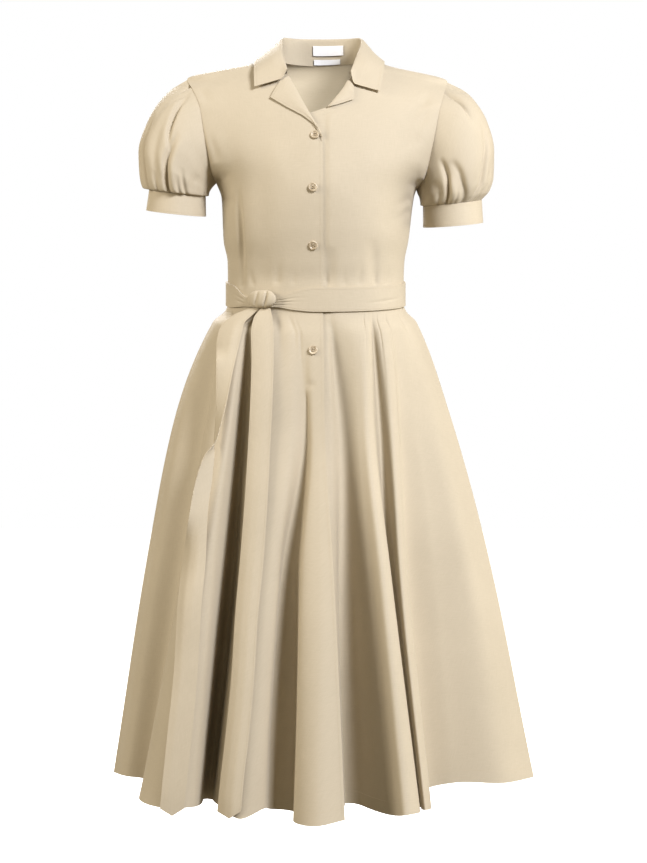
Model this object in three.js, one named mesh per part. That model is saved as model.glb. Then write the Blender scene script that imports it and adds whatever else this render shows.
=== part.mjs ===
// Shirt dress: camp collar, short puffed sleeves, tie belt, folded midi skirt.
// Millimetres, +Z up, the front faces -Y, the wearer's right is on -X.
// The origin is on the centre line at shoulder level, where the wearer carries the dress.
import * as THREE from 'three';

// Driving dimensions
const wall = 1.3;
const seamGap = 0.3;
const lapGap = 0.6;
const beltHeight = 35;
const beltTilt = 0.165;
const waistLevel = -347;
const buttonRadius = 6.6;
const buttonThick = 2.4;
const buttonSeat = 0.35;

// Offsets across and down are read in a front view taken from 2.7 m away, level with the eye line
const viewDistance = 2700;
const viewAcross = 3.75;
const viewLevel = -554;

const V = (x, y, z) => new THREE.Vector3(x, y, z);
const mix = (a, b, t) => a + (b - a) * t;
const clamp = (t, low, high) => Math.min(Math.max(t, low), high);
const ease = (t) => {
  const s = clamp(t, 0, 1);
  return s * s * (3 - 2 * s);
};

// A reading of the front view brought to its own depth
function brought(x, y, z) {
  const scale = 1 + y / viewDistance;
  return V(viewAcross + (x - viewAcross) * scale, y, viewLevel + (z - viewLevel) * scale);
}

// Smooth curve through one column of a table, without overshoot
function column(rows, key, value) {
  const xs = rows.map((row) => row[key]);
  const ys = rows.map(value);
  const last = xs.length - 1;
  const slopes = xs.slice(1).map((x, i) => (ys[i + 1] - ys[i]) / (x - xs[i]));
  const tangents = xs.map((x, i) => {
    if (i === 0) return slopes[0];
    if (i === last) return slopes[last - 1];
    if (slopes[i - 1] * slopes[i] <= 0) return 0;
    return (2 * slopes[i - 1] * slopes[i]) / (slopes[i - 1] + slopes[i]);
  });
  return (x) => {
    const u = clamp(x, xs[0], xs[last]);
    let i = 0;
    while (i < last - 1 && u > xs[i + 1]) i += 1;
    const h = xs[i + 1] - xs[i];
    const t = (u - xs[i]) / h;
    const a = ys[i] * (1 + 2 * t) * (1 - t) * (1 - t) + ys[i + 1] * t * t * (3 - 2 * t);
    return a + h * (tangents[i] * t * (1 - t) * (1 - t) - tangents[i + 1] * t * t * (1 - t));
  };
}

// Straight runs through one column of a table
function straight(rows, key, value) {
  return (x) => {
    const last = rows.length - 1;
    let i = 0;
    while (i < last - 1 && x > rows[i + 1][key]) i += 1;
    const t = clamp((x - rows[i][key]) / (rows[i + 1][key] - rows[i][key]), 0, 1);
    return mix(value(rows[i]), value(rows[i + 1]), t);
  };
}

// Smooth space curve through points, the parameter counting points from 0
function through(points) {
  const count = points.length;
  const pick = (i) => {
    if (i < 0) return points[0].clone().multiplyScalar(2).sub(points[1]);
    if (i > count - 1) return points[count - 1].clone().multiplyScalar(2).sub(points[count - 2]);
    return points[i];
  };
  return (s) => {
    const i = clamp(Math.floor(s), 0, count - 2);
    const t = s - i;
    const [p0, p1, p2, p3] = [pick(i - 1), pick(i), pick(i + 1), pick(i + 2)];
    const d0 = Math.sqrt(Math.max(p0.distanceTo(p1), 1e-3));
    const d1 = Math.sqrt(Math.max(p1.distanceTo(p2), 1e-3));
    const d2 = Math.sqrt(Math.max(p2.distanceTo(p3), 1e-3));
    const m1 = p2.clone().sub(p1)
      .addScaledVector(p1.clone().sub(p0), d1 / d0)
      .addScaledVector(p2.clone().sub(p0), -d1 / (d0 + d1));
    const m2 = p2.clone().sub(p1)
      .addScaledVector(p3.clone().sub(p2), d1 / d2)
      .addScaledVector(p3.clone().sub(p1), -d1 / (d1 + d2));
    return p1.clone().multiplyScalar((1 + 2 * t) * (1 - t) * (1 - t))
      .add(p2.clone().multiplyScalar(t * t * (3 - 2 * t)))
      .add(m1.multiplyScalar(t * (1 - t) * (1 - t)))
      .sub(m2.multiplyScalar(t * t * (1 - t)));
  };
}

function steps(from, to, count) {
  return Array.from({ length: count + 1 }, (unused, i) => mix(from, to, i / count));
}

// Normals of a grid of points, rows running along the cloth and columns across it
function gridNormals(grid, wrap) {
  const rows = grid.length;
  const cols = grid[0].length;
  return grid.map((row, j) => row.map((point, i) => {
    const left = wrap ? row[(i + cols - 1) % cols] : row[Math.max(i - 1, 0)];
    const right = wrap ? row[(i + 1) % cols] : row[Math.min(i + 1, cols - 1)];
    const below = grid[Math.max(j - 1, 0)][i];
    const above = grid[Math.min(j + 1, rows - 1)][i];
    return right.clone().sub(left).cross(above.clone().sub(below)).normalize();
  }));
}

function solidOf(points, faces) {
  const geometry = new THREE.BufferGeometry();
  const numbers = points.flatMap((point) => point.toArray());
  geometry.setAttribute('position', new THREE.Float32BufferAttribute(numbers, 3));
  geometry.setIndex(faces);
  geometry.computeVertexNormals();
  return geometry;
}

// Closed wall between two grids of points, the face outside and the rear behind it
function wallBetween(front, rear, wrap) {
  const rows = front.length;
  const cols = front[0].length;
  const points = [...front.flat(), ...rear.flat()];
  const faceAt = (j, i) => j * cols + (i % cols);
  const rearAt = (j, i) => rows * cols + j * cols + (i % cols);
  const faces = [];
  const quad = (a, b, c, d) => faces.push(a, b, c, a, c, d);
  const lastCol = wrap ? cols : cols - 1;
  for (let j = 0; j < rows - 1; j += 1) {
    for (let i = 0; i < lastCol; i += 1) {
      const corners = [[j, i], [j, i + 1], [j + 1, i + 1], [j + 1, i]];
      const one = points[faceAt(...corners[0])].distanceTo(points[faceAt(...corners[2])]);
      const two = points[faceAt(...corners[1])].distanceTo(points[faceAt(...corners[3])]);
      const order = one <= two ? corners : [...corners.slice(1), corners[0]];
      quad(...order.map((at) => faceAt(...at)));
      const back = [order[0], order[3], order[2], order[1]];
      quad(...back.map((at) => rearAt(...at)));
    }
  }
  for (let i = 0; i < lastCol; i += 1) {
    quad(faceAt(0, i + 1), faceAt(0, i), rearAt(0, i), rearAt(0, i + 1));
    const top = rows - 1;
    quad(faceAt(top, i), faceAt(top, i + 1), rearAt(top, i + 1), rearAt(top, i));
  }
  if (!wrap) {
    for (let j = 0; j < rows - 1; j += 1) {
      const end = cols - 1;
      quad(faceAt(j, 0), faceAt(j + 1, 0), rearAt(j + 1, 0), rearAt(j, 0));
      quad(faceAt(j + 1, end), faceAt(j, end), rearAt(j, end), rearAt(j + 1, end));
    }
  }
  return solidOf(points, faces);
}

// Wall of cloth behind a grid of face points; the rows run up and the columns to the right
// as seen from the face. Where square names an axis the thickness keeps off that axis.
function clothWall(grid, { wrap = false, thick = wall, square = () => null } = {}) {
  const normals = gridNormals(grid, wrap);
  const rear = grid.map((row, j) => row.map((point, i) => {
    const normal = normals[j][i];
    const axis = square(j, i);
    if (axis) {
      normal[axis] = 0;
      normal.normalize();
    }
    return point.clone().addScaledVector(normal, -thick);
  }));
  return wallBetween(grid, rear, wrap);
}

// Edge of the bodice at each side: side seam, armhole and shoulder line, front and back depths
const rightEdge = [
  { z: -347, x: -140, front: 0, back: 0 },
  { z: -325, x: -139.6, front: 0, back: 0 },
  { z: -300, x: -140, front: 0, back: 0 },
  { z: -268, x: -146, front: 0, back: 0 },
  { z: -205, x: -149, front: 0, back: 0 },
  { z: -182, x: -157, front: 0, back: 0 },
  { z: -172, x: -162, front: -34, back: 34 },
  { z: -158, x: -164, front: -50, back: 50 },
  { z: -126, x: -170, front: -58, back: 58 },
  { z: -75, x: -178.5, front: -48, back: 50 },
  { z: -43, x: -192, front: -20, back: 30 },
  { z: -24, x: -201, front: 6, back: 6 },
  { z: -4, x: -116, front: 6, back: 6 },
  { z: 9, x: -67, front: 5, back: 5 },
];
const leftEdge = [
  { z: -347, x: 124, front: 0, back: 0 },
  { z: -325, x: 124, front: 0, back: 0 },
  { z: -300, x: 125, front: 0, back: 0 },
  { z: -268, x: 131, front: 0, back: 0 },
  { z: -205, x: 139, front: 0, back: 0 },
  { z: -192, x: 143, front: 0, back: 0 },
  { z: -180, x: 153, front: -36, back: 34 },
  { z: -158, x: 159, front: -52, back: 50 },
  { z: -124, x: 166, front: -58, back: 58 },
  { z: -77, x: 175.5, front: -48, back: 50 },
  { z: -48, x: 184, front: -20, back: 30 },
  { z: -28, x: 190, front: 6, back: 6 },
  { z: -4, x: 101, front: 6, back: 6 },
  { z: 8, x: 68, front: 5, back: 5 },
];
const underarmRow = 5;
const shoulderRow = 11;

// Depth of the bodice on its centre line and how round its sections are there
const centreDepth = [
  { z: -347, front: -98, back: 92, roundFront: 1, roundBack: 1 },
  { z: -325, front: -98.5, back: 92, roundFront: 1, roundBack: 1 },
  { z: -300, front: -104, back: 95, roundFront: 1, roundBack: 1 },
  { z: -250, front: -115, back: 103, roundFront: 1, roundBack: 1 },
  { z: -200, front: -121, back: 111, roundFront: 0.9, roundBack: 0.9 },
  { z: -150, front: -113, back: 116, roundFront: 0.35, roundBack: 0.4 },
  { z: -110, front: -101, back: 115, roundFront: 0.1, roundBack: 0.2 },
  { z: -75, front: -88, back: 110, roundFront: 0, roundBack: 0.15 },
  { z: -50, front: -76, back: 103, roundFront: 0, roundBack: 0.2 },
  { z: -25, front: -61, back: 92, roundFront: 0, roundBack: 0.3 },
  { z: 0, front: -47, back: 74, roundFront: 0, roundBack: 0.7 },
  { z: 12, front: -38, back: 60, roundFront: 0, roundBack: 1 },
];
const bodiceMiddle = -4;

// Soft troughs in the cloth of the bodice, from one point to another, deepest half way
const bodiceTroughs = [
  { fold: 'right waist tuck', from: [-90, -190], to: [-84, -338], width: 15, depth: 6, back: false },
  { fold: 'right chest pull', from: [-152, -86], to: [-118, -230], width: 18, depth: 4, back: false },
  { fold: 'middle waist tuck', from: [14, -280], to: [11, -340], width: 8, depth: 3, back: false },
  { fold: 'left waist tuck', from: [76, -270], to: [78, -340], width: 9, depth: 4, back: false },
  { fold: 'left chest pull', from: [150, -60], to: [96, -180], width: 16, depth: 4.5, back: false },
  { fold: 'left underarm pull', from: [128, -198], to: [92, -262], width: 12, depth: 4, back: false },
  { fold: 'back right fall', from: [-60, -110], to: [-48, -330], width: 22, depth: 6, back: true },
  { fold: 'back left fall', from: [64, -120], to: [52, -330], width: 20, depth: 6, back: true },
];

function trough(x, z, back) {
  return bodiceTroughs.filter((row) => row.back === back).reduce((sum, row) => {
    const [dx, dz] = [row.to[0] - row.from[0], row.to[1] - row.from[1]];
    const length = Math.hypot(dx, dz);
    const along = ((x - row.from[0]) * dx + (z - row.from[1]) * dz) / (length * length);
    const off = ((x - row.from[0]) * dz - (z - row.from[1]) * dx) / length;
    return sum + row.depth * Math.sin(Math.PI * clamp(along, 0, 1)) * Math.exp(-((off / row.width) ** 2));
  }, 0);
}

const edgeCurves = [rightEdge, leftEdge].map((edge) => ({
  x: column(edge, 'z', (row) => row.x),
  front: column(edge, 'z', (row) => row.front),
  back: column(edge, 'z', (row) => row.back),
}));
const centreCurves = {
  front: column(centreDepth, 'z', (row) => row.front),
  back: column(centreDepth, 'z', (row) => row.back),
  roundFront: column(centreDepth, 'z', (row) => row.roundFront),
  roundBack: column(centreDepth, 'z', (row) => row.roundBack),
};

// Face of the bodice at an offset across and a level, on the front or the back
function bodiceFace(x, z, back = false) {
  const edge = edgeCurves[x < bodiceMiddle ? 0 : 1];
  const edgeDepth = (back ? edge.back : edge.front)(z);
  const centre = (back ? centreCurves.back : centreCurves.front)(z);
  const round = (back ? centreCurves.roundBack : centreCurves.roundFront)(z);
  const t = clamp((x - bodiceMiddle) / (edge.x(z) - bodiceMiddle), 0, 1);
  const flat = t ** 1.6;
  const curved = 1 - Math.sqrt(Math.max(1 - t ** 2.3, 0));
  const dent = trough(x, z, back) * (1 - t ** 4);
  const y = mix(centre, edgeDepth, mix(flat, curved, round)) + (back ? -dent : dent);
  const tilt = beltTilt * clamp((-250 - z) / 97, 0, 1);
  return V(x, y, z + tilt * y);
}

// Point off the face of the bodice along its normal
function offBodice(x, z, out, back = false) {
  const step = 2;
  const across = bodiceFace(x + step, z, back).sub(bodiceFace(x - step, z, back));
  const up = bodiceFace(x, z + step, back).sub(bodiceFace(x, z - step, back));
  const normal = across.cross(up).normalize();
  return bodiceFace(x, z, back).addScaledVector(normal, back ? -out : out);
}

// Inner edges of the two fronts: centre edge, then the roll line up to the neck
const rightInner = [
  { z: -347, x: 3 },
  { z: -140, x: 2.5 },
  { z: -126, x: -1 },
  { z: -112, x: -9 },
  { z: -88, x: -20 },
  { z: -66, x: -32 },
  { z: -40, x: -45 },
  { z: -18, x: -53 },
  { z: 0, x: -58.5 },
  { z: 9, x: -66 },
];
const leftInner = [
  { z: -347, x: -25 },
  { z: -92, x: -23 },
  { z: -86, x: 9 },
  { z: -68, x: 24 },
  { z: -47, x: 38 },
  { z: -25, x: 47 },
  { z: 0, x: 57 },
  { z: 8, x: 67 },
];
const rightInnerX = straight(rightInner, 'z', (row) => row.x);
const leftInnerX = straight(leftInner, 'z', (row) => row.x);

// The under front steps in behind the over front at the centre lap
const lapStep = (x) => (wall + 2 * lapGap) * (1 - ease((x - 5) / 16));

// Levels of the rows of a bodice panel: side seam, armhole, shoulder line
function levelsOf(edge) {
  const armhole = edge.slice(underarmRow, shoulderRow + 1).map((row) => row.z);
  const between = [2, 3, 4].map((i) => mix(armhole[i], armhole[i + 1], 0.5));
  return [
    ...steps(edge[0].z + seamGap / 2, armhole[0], 6),
    ...armhole.slice(1).concat(between).sort((a, b) => a - b),
    ...steps(armhole[armhole.length - 1], edge[edge.length - 1].z - 3, 3).slice(1),
  ];
}
const firstArmholeRow = 6;
const lastArmholeRow = 15;

// Front panel: each row runs between the inner edge and the outer edge, left to right as seen
function frontPanel(edge, innerX, across, under) {
  const outerX = edgeCurves[edge === rightEdge ? 0 : 1].x;
  return levelsOf(edge).map((z) => across.map((s) => {
    const t = mix(s, Math.sin((s * Math.PI) / 2), centreCurves.roundFront(z));
    const point = bodiceFace(mix(innerX(z), outerX(z), t), z);
    if (under) point.y += lapStep(point.x) * ease((-70 - z) / 22);
    return point;
  }));
}

// Back panel: the rows run from side to side, the last along the back neck
function backPanel(across) {
  const right = levelsOf(rightEdge);
  const left = levelsOf(leftEdge);
  return right.map((zRight, j) => across.map((s) => {
    const z = mix(zRight, left[j], s);
    const t = mix(s, 0.5 - 0.5 * Math.cos(s * Math.PI), centreCurves.roundBack(z));
    const x = mix(edgeCurves[0].x(zRight), edgeCurves[1].x(left[j]), t);
    const point = bodiceFace(x, z, true);
    point.y += seamGap;
    return point;
  }));
}

// The thickness at a side or shoulder seam keeps to the seam, and at the waist to its level
const seamSquare = (outer) => (j, i) => {
  if (outer.includes(i) && (j <= firstArmholeRow || j >= lastArmholeRow)) return 'y';
  return j === 0 ? 'z' : null;
};

const parts = [];
const add = (name, geometry, colour) => parts.push({ name, geometry, colour });
const cloth = 0xd8c8a6;
const labelWhite = 0xf1f0ee;
const buttonTan = 0xc9b48a;

const rightFront = frontPanel(rightEdge, rightInnerX, steps(1, 0, 9), false);
const leftFront = frontPanel(leftEdge, leftInnerX, steps(0, 1, 10), true);
const back = backPanel(steps(1, 0, 16));
add('bodice_front_right', clothWall(rightFront, { square: seamSquare([0]) }), cloth);
add('bodice_front_left', clothWall(leftFront, { square: seamSquare([10]) }), cloth);
add('bodice_back', clothWall(back, { square: seamSquare([0, 16]) }), cloth);

// Sleeve rings from armhole to cuff: under and over points of the front view, and half depth
const rightSleeve = [
  { t: 0, under: [-157.5, -182], over: [-201, -24], depth: 57 },
  { t: 0.2, under: [-161.5, -186], over: [-231, -44], depth: 64 },
  { t: 0.42, under: [-164.5, -190], over: [-259.5, -87], depth: 70 },
  { t: 0.65, under: [-167, -194], over: [-273.5, -135], depth: 71 },
  { t: 0.82, under: [-168, -197.5], over: [-272, -168], depth: 67 },
  { t: 0.93, under: [-168.5, -200.5], over: [-266.5, -189], depth: 61 },
  { t: 1, under: [-173, -201.5], over: [-257.5, -191], depth: 53 },
];
const leftSleeve = [
  { t: 0, under: [143.5, -192], over: [190, -28], depth: 57 },
  { t: 0.2, under: [145.5, -198], over: [222, -46], depth: 64 },
  { t: 0.42, under: [147.5, -203], over: [249, -88], depth: 70 },
  { t: 0.65, under: [148.5, -208], over: [259.5, -134], depth: 72 },
  { t: 0.82, under: [149, -211.5], over: [258.5, -172], depth: 68 },
  { t: 0.93, under: [149, -214.5], over: [253, -192], depth: 62 },
  { t: 1, under: [153, -216], over: [241, -206], depth: 54 },
];
const rightCuffEnd = { under: [-172.5, -231.5], over: [-262, -222], depth: 56 };
const leftCuffEnd = { under: [153, -248], over: [243, -240.5], depth: 57 };
const cuffTilt = 0.14;

// Pleats of the sleeves: place round the ring (0 under, 0.25 front, 0.5 over) at both ends of
// the run from the armhole (0) to the cuff (1), depth in and width as a share of the ring
const rightSleevePleats = [
  { pleat: 'cap front', at: [0.44, 0.4], run: [-0.15, 0.5], depth: 7, width: 0.02 },
  { pleat: 'cap top', at: [0.49, 0.52], run: [-0.15, 0.42], depth: 6, width: 0.018 },
  { pleat: 'cap back', at: [0.57, 0.62], run: [-0.15, 0.5], depth: 7, width: 0.02 },
  { pleat: 'long front', at: [0.37, 0.28], run: [0.2, 1.15], depth: 10, width: 0.022 },
  { pleat: 'inner front', at: [0.13, 0.17], run: [0.45, 1.15], depth: 7, width: 0.02 },
  { pleat: 'outer front', at: [0.43, 0.39], run: [0.5, 1.15], depth: 8, width: 0.02 },
  { pleat: 'outer back', at: [0.6, 0.63], run: [0.4, 1.15], depth: 9, width: 0.022 },
  { pleat: 'back', at: [0.76, 0.75], run: [0.35, 1.15], depth: 9, width: 0.024 },
  { pleat: 'inner back', at: [0.88, 0.86], run: [0.45, 1.15], depth: 7, width: 0.02 },
];
const leftSleevePleats = [
  { pleat: 'cap front', at: [0.45, 0.36], run: [-0.15, 0.45], depth: 8, width: 0.02 },
  { pleat: 'cap top', at: [0.51, 0.5], run: [-0.15, 0.42], depth: 6, width: 0.018 },
  { pleat: 'cap back', at: [0.57, 0.63], run: [-0.15, 0.5], depth: 7, width: 0.02 },
  { pleat: 'inner front', at: [0.12, 0.2], run: [0.4, 1.15], depth: 9, width: 0.02 },
  { pleat: 'middle front', at: [0.19, 0.29], run: [0.35, 1.15], depth: 10, width: 0.022 },
  { pleat: 'outer front', at: [0.42, 0.33], run: [0.3, 1.05], depth: 8, width: 0.022 },
  { pleat: 'outer back', at: [0.58, 0.66], run: [0.4, 1.15], depth: 9, width: 0.022 },
  { pleat: 'back', at: [0.74, 0.77], run: [0.35, 1.15], depth: 9, width: 0.024 },
  { pleat: 'inner back', at: [0.89, 0.85], run: [0.45, 1.15], depth: 7, width: 0.02 },
];

// Oval ring between an under point and an over point
function ovalPoint(ring, turn, tilt) {
  const share = (1 - Math.cos(2 * Math.PI * turn)) / 2;
  const y = -ring.depth * Math.sin(2 * Math.PI * turn);
  const x = mix(ring.under[0], ring.over[0], share);
  const z = mix(ring.under[1], ring.over[1], share);
  return V(x, y, z + tilt * y);
}

function sleeveRing(table, t) {
  const pick = (key, i) => column(table, 't', (row) => (i === null ? row[key] : row[key][i]))(t);
  return {
    under: [pick('under', 0), pick('under', 1)],
    over: [pick('over', 0), pick('over', 1)],
    depth: pick('depth', null),
  };
}

// Armhole loop of a side from the underarm up the front and down the back
function armholeLoop(frontGrid, backGrid, column0, column1, outwards, split) {
  const rows = steps(firstArmholeRow, lastArmholeRow, lastArmholeRow - firstArmholeRow);
  const up = rows.map((j) => frontGrid[j][column0]);
  const down = rows.slice(1, -1).reverse().map((j) => backGrid[j][column1]);
  const loop = [...up, ...down];
  const fine = loop.flatMap((point, i) => steps(0, 1, split).slice(0, -1).map(
    (s) => point.clone().lerp(loop[(i + 1) % loop.length], s)));
  const half = (lastArmholeRow - firstArmholeRow) * split;
  return fine.map((point, i) => ({
    point: point.clone().add(V(outwards * 1.5 * seamGap, 0, 0)),
    turn: i <= half ? (0.5 * i) / half : 0.5 + (0.5 * (i - half)) / (fine.length - half),
  }));
}

// Share the turns of a loop by its length so the pleats keep their places
function evenTurns(loop) {
  const lengths = [0];
  loop.forEach((entry, i) => {
    const next = loop[(i + 1) % loop.length];
    lengths.push(lengths[i] + entry.point.distanceTo(next.point));
  });
  const half = loop.findIndex((entry) => entry.turn >= 0.5);
  return loop.map((entry, i) => ({
    point: entry.point,
    turn: i <= half ? (0.5 * lengths[i]) / lengths[half]
      : 0.5 + (0.5 * (lengths[i] - lengths[half])) / (lengths[loop.length] - lengths[half]),
  }));
}

function pleatDepth(pleats, turn, t) {
  return pleats.reduce((sum, row) => {
    const along = clamp((t - row.run[0]) / (row.run[1] - row.run[0]), 0, 1);
    const place = mix(row.at[0], row.at[1], along);
    return sum + row.depth * Math.sin(Math.PI * along) * Math.exp(-(((turn - place) / row.width) ** 2));
  }, 0);
}

function sleeveGrid(table, pleats, loop, lengths) {
  return lengths.map((t) => loop.map(({ point, turn }) => {
    const tilt = cuffTilt * ease((t - 0.3) / 0.7);
    const ring = sleeveRing(table, t);
    const place = ovalPoint(ring, turn, tilt);
    const centre = V((ring.under[0] + ring.over[0]) / 2, 0, (ring.under[1] + ring.over[1]) / 2);
    const inward = centre.sub(place).normalize();
    const start = ovalPoint(table[0], turn, 0);
    const depth = pleatDepth(pleats, turn, t) * Math.sin(Math.PI * clamp(t * 1.02, 0, 1)) ** 0.6;
    return place
      .addScaledVector(inward, t === 0 ? 0 : depth)
      .addScaledVector(point.clone().sub(start), (1 - t) ** 3);
  }));
}

const sleeveSteps = [0, 0.1, 0.22, 0.38, 0.55, 0.72, 0.85, 0.94, 1];

// A cuff is a band below the sleeve end
function cuffGrid(table, end, turns, rows) {
  const top = table[table.length - 1];
  return rows.map((s) => turns.map((turn) => {
    const ring = {
      under: [mix(top.under[0], end.under[0], s), mix(top.under[1] - seamGap, end.under[1], s)],
      over: [mix(top.over[0], end.over[0], s), mix(top.over[1] - seamGap, end.over[1], s)],
      depth: mix(top.depth, end.depth, s),
    };
    return ovalPoint(ring, turn, cuffTilt);
  }));
}

const rightLoop = evenTurns(armholeLoop(rightFront, back, 0, 16, -1, 2));
const leftLoop = evenTurns(armholeLoop(leftFront, back, 10, 0, 1, 2));
const rightRings = sleeveGrid(rightSleeve, rightSleevePleats, rightLoop, sleeveSteps);
const leftRings = sleeveGrid(leftSleeve, leftSleevePleats, leftLoop, sleeveSteps);
const turned = (grid) => grid.map((row) => [...row].reverse());
add('sleeve_right', clothWall(rightRings, { wrap: true }), cloth);
add('sleeve_left', clothWall(turned(leftRings), { wrap: true }), cloth);
const cuffRows = [0, 0.5, 1];
const rightCuff = cuffGrid(rightSleeve, rightCuffEnd, rightLoop.map((entry) => entry.turn), cuffRows);
const leftCuff = cuffGrid(leftSleeve, leftCuffEnd, leftLoop.map((entry) => entry.turn), cuffRows);
add('cuff_right', clothWall(rightCuff, { wrap: true }), cloth);
add('cuff_left', clothWall(turned(leftCuff), { wrap: true }), cloth);

// Folds of the skirt: offset across at the waist, then across and depth at four levels
// (under the belt, hip, thigh, hem) and the level of the hem; the front ones as read in the view
const skirtLevels = [0.06, 0.25, 0.53, 1];
const rightFolds = [
  { fold: 'side seam', waist: -141, x: [-160.5, -217.5, -258, -311.2], y: [0, 0, 0, 0], hem: -1065 },
  { fold: 'side panel', waist: -138, x: [-156, -205.5, -241.5, -292.5], y: [-36, -36, -42, -48], hem: -1071 },
  { fold: 'first hollow', waist: -132, x: [-144, -174, -208.5, -256.5], y: [-60, -62, -64, -60], hem: -1077 },
  { fold: 'edge two', waist: -124.5, x: [-138, -168, -204, -273], y: [-70, -88, -112, -135], hem: -1105.5 },
  { fold: 'pleat two', waist: -117, x: [-129, -154.5, -184.5, -234], y: [-79, -106, -150, -188], hem: -1119 },
  { fold: 'fall two', waist: -109.5, x: [-118.5, -138, -163.5, -192], y: [-86, -113, -153, -180], hem: -1117.5 },
  { fold: 'hollow two', waist: -100.5, x: [-106.5, -117, -132, -169.5], y: [-86, -84, -84, -84], hem: -1106.2 },
  { fold: 'edge three', waist: -93, x: [-94.5, -103.5, -117, -151.5], y: [-94, -112, -145, -180], hem: -1116 },
  { fold: 'pleat three', waist: -84, x: [-81, -85.5, -94.5, -121.5], y: [-98, -121, -163, -212], hem: -1135.5 },
  { fold: 'fall three', waist: -56, x: [-50, -46, -66, -84], y: [-102, -121, -158, -198], hem: -1120.5 },
  { fold: 'middle hollow', waist: -34, x: [-27, -24, -48, -58.5], y: [-103, -112, -128, -160], hem: -1123.5 },
  { fold: 'pleat side', waist: -21, x: [-17, -13, -30, -43.5], y: [-103.6, -122, -160, -206], hem: -1140 },
  { fold: 'front pleat', waist: -9, x: [-7, -5, -4, -7.5], y: [-104, -124, -171, -235], hem: -1146.6 },
  { fold: 'front edge', waist: 3, x: [3.8, 6, 19.5, 36], y: [-104, -124, -170, -222], hem: -1137 },
];
const leftFolds = [
  { fold: 'under edge', waist: -30, x: [-27, -13, -8, 6], y: [-100.2, -113, -152, -202], hem: -1128 },
  { fold: 'under lap', waist: -13.5, x: [-10.5, -2, 6, 22], y: [-101.3, -116, -154, -196], hem: -1125 },
  { fold: 'under turn', waist: 4.5, x: [7.5, 14, 20, 35], y: [-100.5, -112, -138, -158], hem: -1116 },
  { fold: 'front hollow', waist: 19.5, x: [24, 32, 35, 43], y: [-98, -100, -112, -120], hem: -1113.8 },
  { fold: 'edge four', waist: 40.5, x: [50, 57, 75, 107], y: [-99, -113, -146, -184], hem: -1130 },
  { fold: 'pleat four', waist: 56, x: [62, 68, 91, 127], y: [-97, -117, -161, -210], hem: -1130 },
  { fold: 'fall four', waist: 69, x: [71, 78, 104, 148], y: [-92, -109, -148, -192], hem: -1125.8 },
  { fold: 'side hollow', waist: 75, x: [78, 89, 104, 142.5], y: [-84, -88, -108, -126], hem: -1119 },
  { fold: 'narrow pleat', waist: 82.5, x: [90, 105, 118.5, 156], y: [-84, -100, -130, -156], hem: -1122 },
  { fold: 'narrow edge', waist: 91.5, x: [102, 115.5, 129, 165.8], y: [-76, -90, -118, -136], hem: -1119 },
  { fold: 'last hollow', waist: 97.5, x: [106.5, 118.5, 126, 154.5], y: [-68, -74, -80, -76], hem: -1092 },
  { fold: 'panel front', waist: 109.5, x: [120, 142.5, 169.5, 202.5], y: [-54, -58, -66, -66], hem: -1080.8 },
  { fold: 'side panel', waist: 119, x: [133.5, 174, 220.5, 273], y: [-32, -36, -44, -50], hem: -1081.5 },
  { fold: 'side seam', waist: 125.2, x: [141.8, 193.5, 249, 319.5], y: [0, 0, 0, 0], hem: -1072.5 },
];
const backFolds = [
  { fold: 'side seam', waist: 125.2, x: [141.8, 193.5, 249, 319.5], y: [0, 0, 0, 0], hem: -1072.5 },
  { fold: 'left side panel', waist: 117, x: [130, 168, 212, 264], y: [36, 44, 62, 84], hem: -1074 },
  { fold: 'left hollow', waist: 104, x: [112, 138, 166, 202], y: [60, 62, 70, 78], hem: -1074 },
  { fold: 'left pleat', waist: 88, x: [94, 116, 146, 186], y: [74, 92, 128, 168], hem: -1074 },
  { fold: 'left inner hollow', waist: 68, x: [72, 82, 96, 118], y: [82, 86, 98, 110], hem: -1074 },
  { fold: 'left middle pleat', waist: 46, x: [48, 58, 74, 100], y: [91, 108, 146, 190], hem: -1074 },
  { fold: 'middle hollow', waist: 20, x: [20, 22, 26, 30], y: [92, 96, 112, 122], hem: -1074 },
  { fold: 'middle pleat', waist: -6, x: [-8, -8, -10, -6], y: [97, 114, 154, 204], hem: -1074 },
  { fold: 'right middle hollow', waist: -34, x: [-36, -42, -54, -66], y: [93, 97, 112, 126], hem: -1073 },
  { fold: 'right middle pleat', waist: -60, x: [-64, -78, -96, -122], y: [90, 106, 140, 182], hem: -1072 },
  { fold: 'right inner hollow', waist: -84, x: [-92, -106, -130, -152], y: [78, 80, 90, 96], hem: -1071 },
  { fold: 'right pleat', waist: -106, x: [-114, -142, -176, -214], y: [67, 82, 112, 146], hem: -1069 },
  { fold: 'right hollow', waist: -122, x: [-134, -166, -202, -240], y: [46, 48, 58, 70], hem: -1067 },
  { fold: 'right side panel', waist: -136, x: [-152, -194, -232, -288], y: [22, 30, 40, 52], hem: -1066 },
  { fold: 'side seam', waist: -141, x: [-160.5, -217.5, -258, -311.2], y: [0, 0, 0, 0], hem: -1065 },
];

// The skirt hangs straight under the belt and is free of it at the waist's end, both as shares
// of the way down; within them it drops as a skirt of the straight length would
const beltCover = 0.028;
const waistEnd = 0.06;
const straightDrop = 740;

// Point of the waist oval below the bodice, at an offset across
function waistPoint(x, back) {
  const point = bodiceFace(clamp(x, rightEdge[0].x, leftEdge[0].x), waistLevel, back);
  point.z -= seamGap / 2;
  return point;
}

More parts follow.
